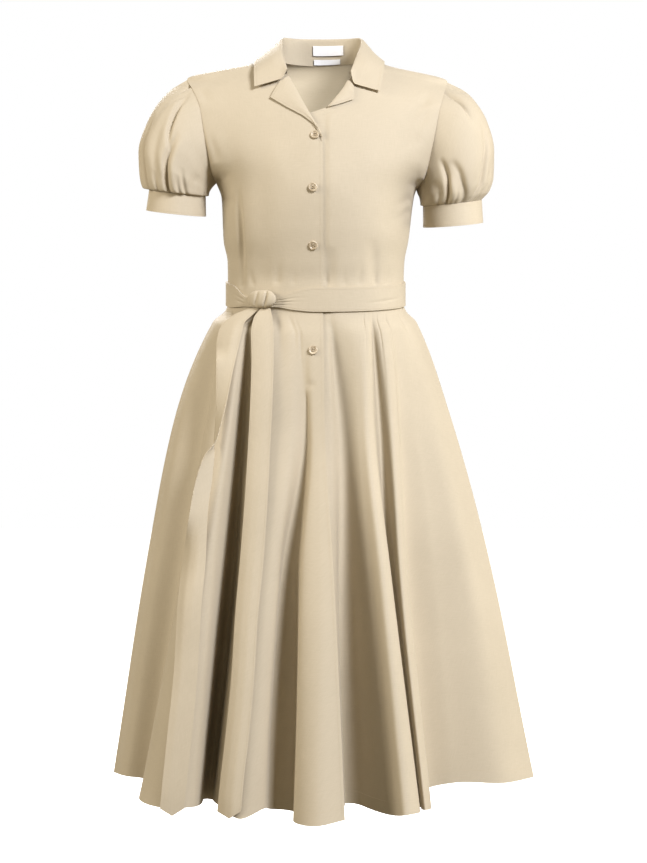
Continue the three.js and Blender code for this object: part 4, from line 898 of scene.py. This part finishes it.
fall, roll, stand = np.linspace(3, 1.3, 26), np.linspace(1.24, 0.8, 14), np.linspace(0.7, 0, 12)
collar_places = np.linspace(0, len(COLLAR_STATIONS) - 1, COLLAR_COLUMNS)
collar_grid = np.swapaxes(collar_point(collar_places, np.concatenate([fall, roll, stand])), 0, 1)

# The back goes up to the stand's seam, just behind it
stand_seam = collar_point(np.linspace(3, 7, 81), 0)[0]
top = back_grid[-1]
joined = read_at(top[:, 0], stand_seam[:, 0], stand_seam)
joined[:, 0] = top[:, 0]
joined += [0, STAND_BEHIND, STAND_ABOVE]
back_grid = np.concatenate([back_grid, mix(top, joined, 0.5)[None], joined[None]])


def lapel_grid(table, inwards, split):
    """Turned-out top of a front: rows from the bottom up, columns from the roll to the edge."""
    s = np.linspace(0, len(table) - 1, (len(table) - 1) * split + 1)[:, None]
    roll_x, roll_z, edge_x, edge_z = (np.interp(s, range(len(table)), values) for values in zip(*table))
    q = np.linspace(0, 1, LAPEL_COLUMNS)[None, :]
    out, beyond = (curve(q) for curve in curves_of(LAPEL_ACROSS))
    x = mix(roll_x, edge_x, q) + inwards * beyond
    return off_bodice(x, mix(roll_z, edge_z, q), out * np.ones_like(x))


lapel_right = lapel_grid(RIGHT_LAPEL, 1, 8)[:, ::-1]
lapel_left = lapel_grid(LEFT_LAPEL, -1, 10)


def knot_point(across, up, front):
    flank = np.sqrt(np.maximum(1 - KNOT_FLANK * across ** 4, 0))
    half = (KNOT_TO - KNOT_FROM) / 2
    x = KNOT_FROM + half + half * across * np.sqrt(1 - KNOT_BOW * up ** 4)
    z = KNOT_LEVEL + KNOT_TALL / 2 * up * flank
    swell = np.sqrt(np.maximum((1 - across ** 2) * (1 - up ** 2), 0))
    crease = np.zeros_like(x)
    for at, width, depth in KNOT_CREASES:
        crease = crease + depth * np.exp(-((across - at - KNOT_LEAN * up) / width) ** 2)
    out = KNOT_LEAST + KNOT_OUT * swell ** 0.5 - crease * swell if front else 0 * x
    rear = bodice_face(x, WAIST_LEVEL)[..., 1] - KNOT_REAR
    return np.stack([x, rear - out, z], -1)


knot_across, knot_up = np.meshgrid(np.linspace(-1, 1, KNOT_COLUMNS),
                                  np.linspace(-1, 1, KNOT_ROWS))
knot_front = knot_point(knot_across, knot_up, True)


def depth_about(x, z):
    """Foremost depth of the skirt about a reading of the front view."""
    y = SKIRT_GUESS
    for _ in range(3):
        near = [brought(x + shift, y, z) for shift in np.linspace(-TAIL_REACH, TAIL_REACH, 5)]
        found = [skirt_depth(point[0], point[2]) for point in near]
        if np.all(np.isnan(found)):
            return np.nan
        y = np.nanmin(found)
    return y


def tail_grid(table):
    """A tail of the belt, from its tip up to the knot."""
    last = len(table) - 1
    s = np.linspace(last, 0, last * TAIL_SPLIT + 1)
    level, start, end, lean = (column(range(last + 1), values)(s) for values in zip(*table))
    across = np.linspace(0, 1, TAIL_COLUMNS)
    coarse = np.linspace(0, 1, 4)
    depths = np.array([[depth_about(mix(f, t, c), z) - TAIL_OFF for c in coarse]
                       for z, f, t in zip(level, start, end)])
    for row in range(len(depths) - 2, -1, -1):
        depths[row] = np.where(np.isnan(depths[row]), depths[row + 1], depths[row])
    for _ in range(TAIL_EASE):
        depths[1:-1] = np.minimum(depths[1:-1], (depths[:-2] + depths[2:]) / 2)
    fine = np.stack([column(coarse, row)(across) for row in depths])
    lean = lean[:, None]
    y = mix(fine, depths.min(1)[:, None], ease(np.abs(lean) / LEAN_FADE)) + lean * across
    x = mix(start[:, None], end[:, None], across)
    near_tip = np.clip(1 - (last - s) / 0.5, 0, 1)[:, None]
    tip = TAIL_TIP * (1 - np.abs(2 * across - 1)) * near_tip
    return brought(x, y, level[:, None] - tip)


tail_right = tail_grid(RIGHT_TAIL)
tail_left = tail_grid(LEFT_TAIL)

# Meshes
MM = 0.001
SHARP_ANGLE = 55
STITCH_PITCH = 3.2
STITCH_RISE = 0.28
STITCH_SINK = 0.1
STITCH_HALF = 0.36
STITCH_POINTS = 5
THREAD_RADIUS = 0.2
THREAD_SIDES = 4
THREAD_TAPER = 0.5
THREAD_SIDEWAYS = (0.31, 0.12, 0.94)
BUTTON_SIDES = 72
BUTTON_RINGS = 44

# Section of a button, in shares of its radius and thickness: the dished face and its rim from the
# middle out, then the edge and the back from the rim in
BUTTON_SHARES = (0, 0.6, 0.7, 0.86, 0.97, 1)
BUTTON_HEIGHTS = (0.62, 0.66, 0.92, 1, 0.8, 0.6)
BUTTON_BACK_SHARES = (1, 1, 1, 1, 0.86, 0.02)
BUTTON_BACK_HEIGHTS = (0.45, 0.3, 0.18, 0.08, 0, 0)
HOLE_OFF = 1.35
HOLE_RADIUS = 0.75
HOLE_DEPTH = 0.5
STRAND_OFF = 0.28


def put(name, data):
    """A new object of the scene."""
    made = bpy.data.objects.new(name, data)
    bpy.context.scene.collection.objects.link(made)
    return made


def build(name, points, faces, uv=None):
    mesh = bpy.data.meshes.new(name)
    mesh.from_pydata((points * MM).tolist(), [], faces)
    if uv is not None:
        layer = mesh.uv_layers.new(name="UVMap")
        layer.data.foreach_set("uv", (uv * MM).astype(np.float32).ravel())
    mesh.update()
    mesh.shade_smooth()
    mesh.set_sharp_from_angle(angle=math.radians(SHARP_ANGLE))
    return put(name, mesh)


def lengths_along(grid, axis, wrap=False):
    """Length of cloth from the first row or column, for the weave and the sewing."""
    closed = np.concatenate([grid, grid[:, :1]], 1) if wrap else grid
    steps = np.linalg.norm(np.diff(closed, axis=axis), axis=2)
    pad = [(0, 0), (0, 0)]
    pad[axis] = (1, 0)
    return np.pad(np.cumsum(steps, axis=axis), pad)


def shell(name, grid, wrap=False, thick=CLOTH, rear=None):
    """Closed thin cloth behind a grid of face points."""
    rows, cols = grid.shape[:2]
    if rear is None:
        rear = grid - normals_of(grid, wrap) * thick
    uv = np.stack([lengths_along(grid, 1, wrap), lengths_along(grid, 0, wrap)], -1)
    index = np.arange(rows * cols).reshape(rows, cols)
    if wrap:
        index = np.concatenate([index, index[:, :1]], 1)
    behind = index + rows * cols
    turned = [0, 3, 2, 1]
    quads = [cells(index), cells(behind)[:, :, turned]]
    maps = [cells(uv), cells(uv)[:, :, turned]]
    rims = [(np.s_[0, 1:], np.s_[0, :-1]), (np.s_[-1, :-1], np.s_[-1, 1:])]
    if not wrap:
        rims += [(np.s_[:-1, 0], np.s_[1:, 0]), (np.s_[1:, -1], np.s_[:-1, -1])]
    for a, b in rims:
        quads.append(np.stack([index[a], index[b], behind[b], behind[a]], -1))
        maps.append(np.stack([uv[a], uv[b], uv[b], uv[a]], -2))
    points = np.concatenate([grid.reshape(-1, 3), rear.reshape(-1, 3)])
    faces = np.concatenate([part.reshape(-1, 4) for part in quads])
    return build(name, points, faces.tolist(), np.concatenate([part.reshape(-1, 2) for part in maps]))


def line_inside(grid, edge, distance, wrap=False):
    """Points and normals along a sheet, a set distance in from one of its edges."""
    both = np.concatenate([grid, normals_of(grid, wrap)], 2)
    if edge in ("left", "right"):
        both = both.swapaxes(0, 1)
    if edge in ("high", "right"):
        both = both[::-1]
    found = np.array([read_at(distance, lengths_of(run[:, :3]), run) for run in both.swapaxes(0, 1)])
    return np.concatenate([found, found[:1]]) if wrap else found


def stitches_along(line, pitch=STITCH_PITCH):
    """Short runs of thread along a line, each up out of the cloth and down into it."""
    lengths = lengths_of(line[:, :3])
    starts = np.arange(pitch / 2, lengths[-1] - pitch / 2, pitch)
    at = starts[:, None] + np.linspace(-STITCH_HALF, STITCH_HALF, STITCH_POINTS) * pitch
    placed = read_at(at, lengths, line)
    rise = STITCH_RISE * np.sin(np.linspace(0.15, np.pi - 0.15, STITCH_POINTS))[None, :, None]
    return placed[..., :3] + placed[..., 3:] * (rise - STITCH_SINK)


def tubes(name, rings):
    """One piece of closed tubes: each run of rings joined, and capped at both ends."""
    index = np.arange(rings[..., 0].size).reshape(rings.shape[:-1])
    following = np.roll(index, -1, 2)
    quads = np.stack([index[:, :-1], index[:, 1:], following[:, 1:], following[:, :-1]], -1)
    caps = index[:, 0].tolist() + index[:, -1, ::-1].tolist()
    return build(name, rings.reshape(-1, 3), quads.reshape(-1, 4).tolist() + caps)


def threads(name, paths, radius):
    """One piece of thread runs: all paths have the same number of points."""
    paths = np.asarray(paths, float)
    along = unit(np.gradient(paths, axis=1))
    side = unit(np.cross(along, THREAD_SIDEWAYS))
    up = np.cross(side, along)
    angle = 2 * np.pi * np.arange(THREAD_SIDES) / THREAD_SIDES
    taper = np.ones(paths.shape[1])
    taper[[0, -1]] = THREAD_TAPER
    ring = side[:, :, None] * np.cos(angle)[:, None] + up[:, :, None] * np.sin(angle)[:, None]
    return tubes(name, paths[:, :, None] + radius * taper[:, None, None] * ring)


def button(name, centre, normal):
    """Dished button with a rolled rim and four holes; its normal points away from the cloth."""
    normal = unit(normal)
    across = unit(np.array([1, 0, 0]) - normal[0] * normal)
    up = np.cross(normal, across)
    angle = np.linspace(0, 2 * np.pi, BUTTON_SIDES + 1)[:-1]
    share = np.concatenate([np.linspace(0.02, 1, BUTTON_RINGS), BUTTON_BACK_SHARES])
    height = column(BUTTON_SHARES, BUTTON_HEIGHTS)(share)
    height[BUTTON_RINGS:] = BUTTON_BACK_HEIGHTS
    x = BUTTON_RADIUS * share[:, None] * np.cos(angle)
    y = BUTTON_RADIUS * share[:, None] * np.sin(angle)
    off = np.hypot(np.abs(x) - HOLE_OFF, np.abs(y) - HOLE_OFF)
    pits = 1 - ease((off - HOLE_RADIUS * 0.8) / (HOLE_RADIUS * 0.45))
    pits[BUTTON_RINGS:] = 0
    out = BUTTON_SEAT + BUTTON_THICK * (height[:, None] - HOLE_DEPTH * pits)
    points = centre + x[..., None] * across + y[..., None] * up + out[..., None] * normal
    made = tubes(name, points[None])
    run = np.linspace(-1, 1, 9)
    lift = 0.7 + 0.42 * (1 - np.abs(run) ** 4) - 0.45 * (np.abs(run) > 0.99)
    strand = centre + np.outer(run * HOLE_OFF, across)
    strand = strand + np.outer(BUTTON_SEAT + BUTTON_THICK * lift, normal)
    offsets = [side * HOLE_OFF + shift for side in (-1, 1) for shift in (-STRAND_OFF, STRAND_OFF)]
    strands = [strand + offset * up for offset in offsets]
    return made, threads(name + "_thread", strands, THREAD_RADIUS * 1.3)


# Finishes
def feed(tree, made, inputs):
    """Each input of a shader node is given a value or linked from a socket."""
    for key, value in inputs.items():
        if isinstance(value, bpy.types.NodeSocket):
            tree.links.new(value, made.inputs[key])
        else:
            made.inputs[key].default_value = value


def node(tree, kind, inputs, output=0, **settings):
    """A new shader node, and one of its outputs to link from."""
    made = tree.nodes.new(kind)
    for key, value in settings.items():
        setattr(made, key, value)
    feed(tree, made, inputs)
    return made.outputs[output]


def noise(tree, place, scale, detail, **more):
    inputs = {"Vector": place, "Scale": scale, "Detail": detail, **more}
    return node(tree, "ShaderNodeTexNoise", inputs, "Fac")


def stretched(tree, place, scale):
    return node(tree, "ShaderNodeMapping", {"Vector": place, "Scale": scale}, "Vector")


def reckoned(tree, operation, first, second):
    return node(tree, "ShaderNodeMath", {0: first, 1: second}, operation=operation)


def ramp(tree, value, *stops):
    """Colours between two stops, each a place and a colour."""
    made = tree.nodes.new("ShaderNodeValToRGB")
    feed(tree, made, {"Fac": value})
    for element, (place, colour) in zip(made.color_ramp.elements, stops):
        element.position = place
        element.color = (*colour, 1)
    return made.outputs["Color"]


def new_finish(name):
    finish = bpy.data.materials.new(name)
    finish.use_nodes = True
    tree = finish.node_tree
    return finish, tree, tree.nodes["Principled BSDF"]


WAVE_TURN = 3.1416
SLUB_LONG = 60
SLUB_SHORT = 900
YARN_RELIEF = 0.22
ROUGHNESS_SPREAD = 0.06


def woven(name, dark, light, yarn, roughness, sheen, crumple):
    """Plain weave: two sets of yarns, uneven in colour, over a softly crumpled ground."""
    finish, tree, shader = new_finish(name)
    cut = tree.nodes.new("ShaderNodeTexCoord").outputs
    uv, place = cut["UV"], cut["Object"]
    pitch = 2 / yarn / WAVE_TURN
    yarn_place = stretched(tree, uv, (pitch, pitch, 1))
    wave = {"Vector": yarn_place, "Scale": 0.5, "Distortion": 0.35, "Detail": 1.0}
    warp, weft = (node(tree, "ShaderNodeTexWave", wave, "Fac", bands_direction=way) for way in ("X", "Y"))
    slubs = [noise(tree, stretched(tree, uv, scale), 1.0, 3.0, Roughness=0.6)
             for scale in ((SLUB_SHORT, SLUB_LONG, 1), (SLUB_LONG, SLUB_SHORT, 1))]
    mottle = noise(tree, place, 7.0, 3.0, Roughness=0.55)
    ground = noise(tree, place, 26.0, 4.0, Roughness=0.5)
    weave = reckoned(tree, "MULTIPLY", warp, weft)
    yarns = reckoned(tree, "ADD", *slubs)
    shade = reckoned(tree, "ADD", reckoned(tree, "MULTIPLY", yarns, 0.3),
                     reckoned(tree, "MULTIPLY", mottle, 0.4))
    relief = reckoned(tree, "ADD", weave, reckoned(tree, "MULTIPLY", yarns, 0.4))
    soft = node(tree, "ShaderNodeBump", {"Height": ground, "Strength": crumple, "Distance": 0.002})
    fine = {"Height": relief, "Normal": soft, "Strength": YARN_RELIEF, "Distance": 0.0002}
    low, high = roughness - ROUGHNESS_SPREAD, roughness + ROUGHNESS_SPREAD
    feed(tree, shader, {
        "Base Color": ramp(tree, shade, (0.3, dark), (0.7, light)),
        "Normal": node(tree, "ShaderNodeBump", fine),
        "Roughness": node(tree, "ShaderNodeMapRange", {"Value": mottle, "To Min": low, "To Max": high}),
        "Sheen Weight": sheen,
        "Sheen Roughness": 0.45,
        "Sheen Tint": (1.0, 0.97, 0.9, 1),
        "Specular IOR Level": 0.35,
    })
    return finish


def moulded(name, dark, light):
    """Horn-like button plastic: clouded colour, satin gloss, faint turning marks."""
    finish, tree, shader = new_finish(name)
    place = tree.nodes.new("ShaderNodeTexCoord").outputs["Object"]
    cloud = noise(tree, place, 160.0, 4.0, Distortion=1.2)
    marks = noise(tree, place, 1500.0, 2.0)
    feed(tree, shader, {
        "Base Color": ramp(tree, cloud, (0.35, dark), (0.65, light)),
        "Normal": node(tree, "ShaderNodeBump", {"Height": marks, "Strength": 0.1, "Distance": 0.0002}),
        "Roughness": 0.3,
        "Coat Weight": 0.25,
        "Coat Roughness": 0.2,
    })
    return finish


POPLIN = woven("poplin", (0.44, 0.372, 0.262), (0.53, 0.45, 0.322), 0.0005, 0.72, 0.2, 0.16)
LABEL = woven("label_satin", (0.80, 0.79, 0.76), (0.90, 0.89, 0.87), 0.0003, 0.5, 0.1, 0.08)
HORN = moulded("button_horn", (0.33, 0.25, 0.15), (0.62, 0.52, 0.37))
THREAD = woven("thread", (0.42, 0.34, 0.22), (0.56, 0.46, 0.31), 0.0002, 0.65, 0.3, 0.0)


def dressed(piece, finish, node_name=None):
    piece.data.materials.append(finish)
    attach(piece, "root")
    if node_name:
        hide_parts(node_name)
    return piece


# Edge seams: the edge, how far in
BOTH_SIDES = [("left", 2.5), ("right", 2.5)]
STITCH_LINES = {
    "bodice_front_right": [("right", 4)],
    "cuff_right": [("high", 3), ("low", 3)],
    "cuff_left": [("high", 3), ("low", 3)],
    "skirt_front_right": [("low", 18), ("right", 4)],
    "skirt_front_left": [("low", 18)],
    "skirt_back": [("low", 18)],
    "belt_band": [("low", 2.5), ("high", 2.5)],
    "belt_tail_right": BOTH_SIDES,
    "belt_tail_left": BOTH_SIDES,
    "collar": [("left", 4)],
    "lapel_right": [("left", 4)],
    "lapel_left": [("right", 4)],
}

# Sheets of cloth: node, face points, a ring or not, the cut's width and length, its area where
# it is shaped, how it is held and what carries it
CLOTHS = [
    ("bodice_front_right", right_front, False, (0.24, 0.40), 0.078, "draped", ["sewn_bodice_back"]),
    ("bodice_front_left", left_front, False, (0.24, 0.40), 0.078, "draped", ["sewn_bodice_back"]),
    ("bodice_back", back_grid, False, (0.45, 0.38), 0.150, "draped", ["sewn_belt_band"]),
    ("sleeve_right", right_rings, True, (0.42, 0.17), 0.055, "gathered", ["sewn_bodice_back"]),
    ("sleeve_left", left_rings[:, ::-1], True, (0.42, 0.18), 0.056, "gathered", ["sewn_bodice_back"]),
    ("cuff_right", right_cuff, True, (0.32, 0.035), None, "hung", ["sewn_sleeve_right"]),
    ("cuff_left", left_cuff[:, ::-1], True, (0.32, 0.035), None, "hung", ["sewn_sleeve_left"]),
    ("skirt_front_right", skirt_right, False, (0.78, 0.77), 0.40, "hung", ["sewn_belt_band"]),
    ("skirt_front_left", skirt_left, False, (0.68, 0.77), 0.35, "hung", ["sewn_belt_band"]),
    ("skirt_back", skirt_back, False, (1.20, 0.76), 0.62, "hung", ["sewn_belt_band"]),
    ("belt_band", belt_grid, True, (0.035, 0.76), None, "laid", ["sewn_bodice_back"]),
    ("belt_tail_right", tail_right, False, (0.035, 0.78), None, "hung", ["sewn_belt_knot"]),
    ("belt_tail_left", tail_left, False, (0.035, 0.78), None, "hung", ["sewn_belt_knot"]),
    ("collar", collar_grid, False, (0.11, 0.50), 0.036, "folded", ["sewn_bodice_back"]),
    ("lapel_right", lapel_right, False, (0.045, 0.14), 0.0024, "folded", ["sewn_bodice_front_right"]),
    ("lapel_left", lapel_left, False, (0.03, 0.06), 0.0009, "folded", ["sewn_bodice_front_left"]),
]
for node_name, grid, wrap, flat, cut_area, held, carrier in CLOTHS:
    thick = BELT_CLOTH if node_name == "belt_band" else CLOTH
    piece = dressed(shell("sewn_" + node_name, grid, wrap, thick), POPLIN, node_name)
    runs = [stitches_along(line_inside(grid, edge, distance, wrap))
            for edge, distance in STITCH_LINES.get(node_name, [])]
    beside = []
    if runs:
        sewing = threads("stitches_" + node_name, np.concatenate(runs), THREAD_RADIUS)
        beside = [dressed(sewing, THREAD)]

knot = shell("sewn_belt_knot", knot_front, rear=knot_point(knot_across, knot_up, False))
dressed(knot, POPLIN, "belt_knot")

# Buttons of the front, standing on the cloth where the solids have theirs
BUTTONS = [("button_1", -8.5, -126.6), ("button_2", -11.3, -203.9), ("button_3", -11.3, -280.4)]
SKIRT_BUTTON = ("button_4", -11.3, -437.1)
SKIRT_BUTTON_SUNK = 0.2


def dressed_button(name, centre, normal):
    made, strands = button("horn_" + name, centre, normal)
    dressed(made, HORN, name)
    dressed(strands, THREAD)


for name, x, z in BUTTONS:
    centre = bodice_face(x, z)
    dressed_button(name, centre, off_bodice(x, z, np.array(1.0)) - centre)
name, x, z = SKIRT_BUTTON
slope = (skirt_depth(x, z + BUTTON_RADIUS) - skirt_depth(x, z - BUTTON_RADIUS)) / (2 * BUTTON_RADIUS)
centre = np.array([x, skirt_depth(x, z) - SKIRT_BUTTON_SUNK, z])
dressed_button(name, centre, np.array([0, -1, slope]))

# Labels inside the back neck: name, from and to across, low and high on the stand, flat size
LABELS = [
    ("neck_label", -12.3, 33.6, 0.31, 0.61, (0.046, 0.015)),
    ("size_label", -10.8, 29, 0.03, 0.2, (0.040, 0.010)),
]
LABEL_THICK = 0.5
LABEL_OFF = 2
LABEL_PITCH = 2.2
LABEL_COLUMNS = 41
LABEL_ROWS = 13


def stand_point(x, across):
    """Point of the collar's stand at an offset across the back."""
    line = collar_point(np.linspace(3, 7, 161), across)[0]
    return read_at(x, line[:, 0], line)


for name, start, end, low, high, flat in LABELS:
    across = np.linspace(start, end, LABEL_COLUMNS)
    grid = np.array([stand_point(across, share) for share in np.linspace(low, high, LABEL_ROWS)])
    grid[..., 1] -= LABEL_OFF
    piece = dressed(shell("woven_" + name, grid, thick=LABEL_THICK), LABEL, name)
    ends = [stitches_along(line_inside(grid, edge, 1), LABEL_PITCH) for edge in ("left", "right")]
    sewing = threads("stitches_" + name, np.concatenate(ends), THREAD_RADIUS * 0.7)
    dressed(sewing, LABEL)

# Floor, lights and camera, in metres
FLOOR_HALF = 14
FLOOR_LEVEL = -1.46
floor_mesh = bpy.data.meshes.new("floor")
corners = [(-FLOOR_HALF, -FLOOR_HALF, 0), (FLOOR_HALF, -FLOOR_HALF, 0),
           (FLOOR_HALF, FLOOR_HALF, 0), (-FLOOR_HALF, FLOOR_HALF, 0)]
floor_mesh.from_pydata(corners, [], [(0, 1, 2, 3)])
floor = put("floor", floor_mesh)
floor.location = (0, 0, FLOOR_LEVEL)
floor_finish, floor_tree, floor_shader = new_finish("floor_paint")
feed(floor_tree, floor_shader, {"Base Color": (0.93, 0.93, 0.93, 1), "Roughness": 0.9})
floor_mesh.materials.append(floor_finish)
floor.visible_diffuse = False
floor.visible_glossy = False
floor.visible_shadow = False
floor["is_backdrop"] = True


def soft_light(name, place, aim, size, power, colour):
    lamp = bpy.data.lights.new(name, "AREA")
    lamp.shape = "DISK"
    lamp.size = size
    lamp.energy = power
    lamp.color = colour
    made = put(name, lamp)
    made.location = place
    made.rotation_euler = (Vector(aim) - Vector(place)).to_track_quat("-Z", "Y").to_euler()
    return made


def reaching(lamp, name, piece):
    """Lets a lamp reach one piece alone."""
    reached = bpy.data.collections.new(name)
    reached.objects.link(piece)
    lamp.light_linking.receiver_collection = reached


soft_light("key_light", (2.25, -2.85, 1.6), (0, 0, -0.4), 1.3, 272, (0.87, 0.9, 1.0))
soft_light("left_light", (-3.0, -1.2, 0.7), (0, 0, -0.5), 1.6, 86, (1.0, 0.94, 0.84))
soft_light("right_light", (3.1, 0.2, -0.2), (0, 0, -0.6), 1.6, 40, (1.0, 0.95, 0.82))
soft_light("back_light", (-0.8, 3.3, 1.5), (0, 0, -0.5), 2.0, 170, (0.96, 0.96, 1.0))

# The neck light reaches the inside of the back alone
neck_light = soft_light("neck_light", (0.15, -2.6, 0.45), (0, 0.1, -0.03), 0.9, 85, (1.0, 1.0, 1.0))
reaching(neck_light, "lit_neck", bpy.data.objects["sewn_bodice_back"])

# The floor alone is lit from above, to the pale of the studio
floor_lamp = bpy.data.lights.new("floor_light", "SUN")
floor_lamp.energy = 3.6
reaching(put("floor_light", floor_lamp), "lit_floor", floor)

world = bpy.data.worlds.new("studio")
bpy.context.scene.world = world
world.use_nodes = True
sky = world.node_tree
surround = sky.nodes["Background"]
feed(sky, surround, {"Color": (1.0, 0.87, 0.64, 1), "Strength": 0.28})
seen = {
    "Fac": node(sky, "ShaderNodeLightPath", {}, "Is Camera Ray"),
    1: surround.outputs["Background"],
    2: node(sky, "ShaderNodeBackground", {"Color": (1, 1, 1, 1)}),
}
feed(sky, sky.nodes["World Output"], {"Surface": node(sky, "ShaderNodeMixShader", seen)})

SENSOR_WIDTH = 36
camera_data = bpy.data.cameras.new("photo_view")
camera_data.sensor_width = SENSOR_WIDTH
camera_data.lens = SENSOR_WIDTH * PHOTO_FOCAL / PHOTO_LONG_SIDE
camera = put("photo_view", camera_data)
camera.location = (VIEW_ACROSS * MM, -VIEW_DISTANCE * MM, VIEW_LEVEL * MM)
camera.rotation_euler = (math.pi / 2, 0, 0)
bpy.context.scene.camera = camera
bpy.context.scene.view_settings.view_transform = "Standard"

low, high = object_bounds()
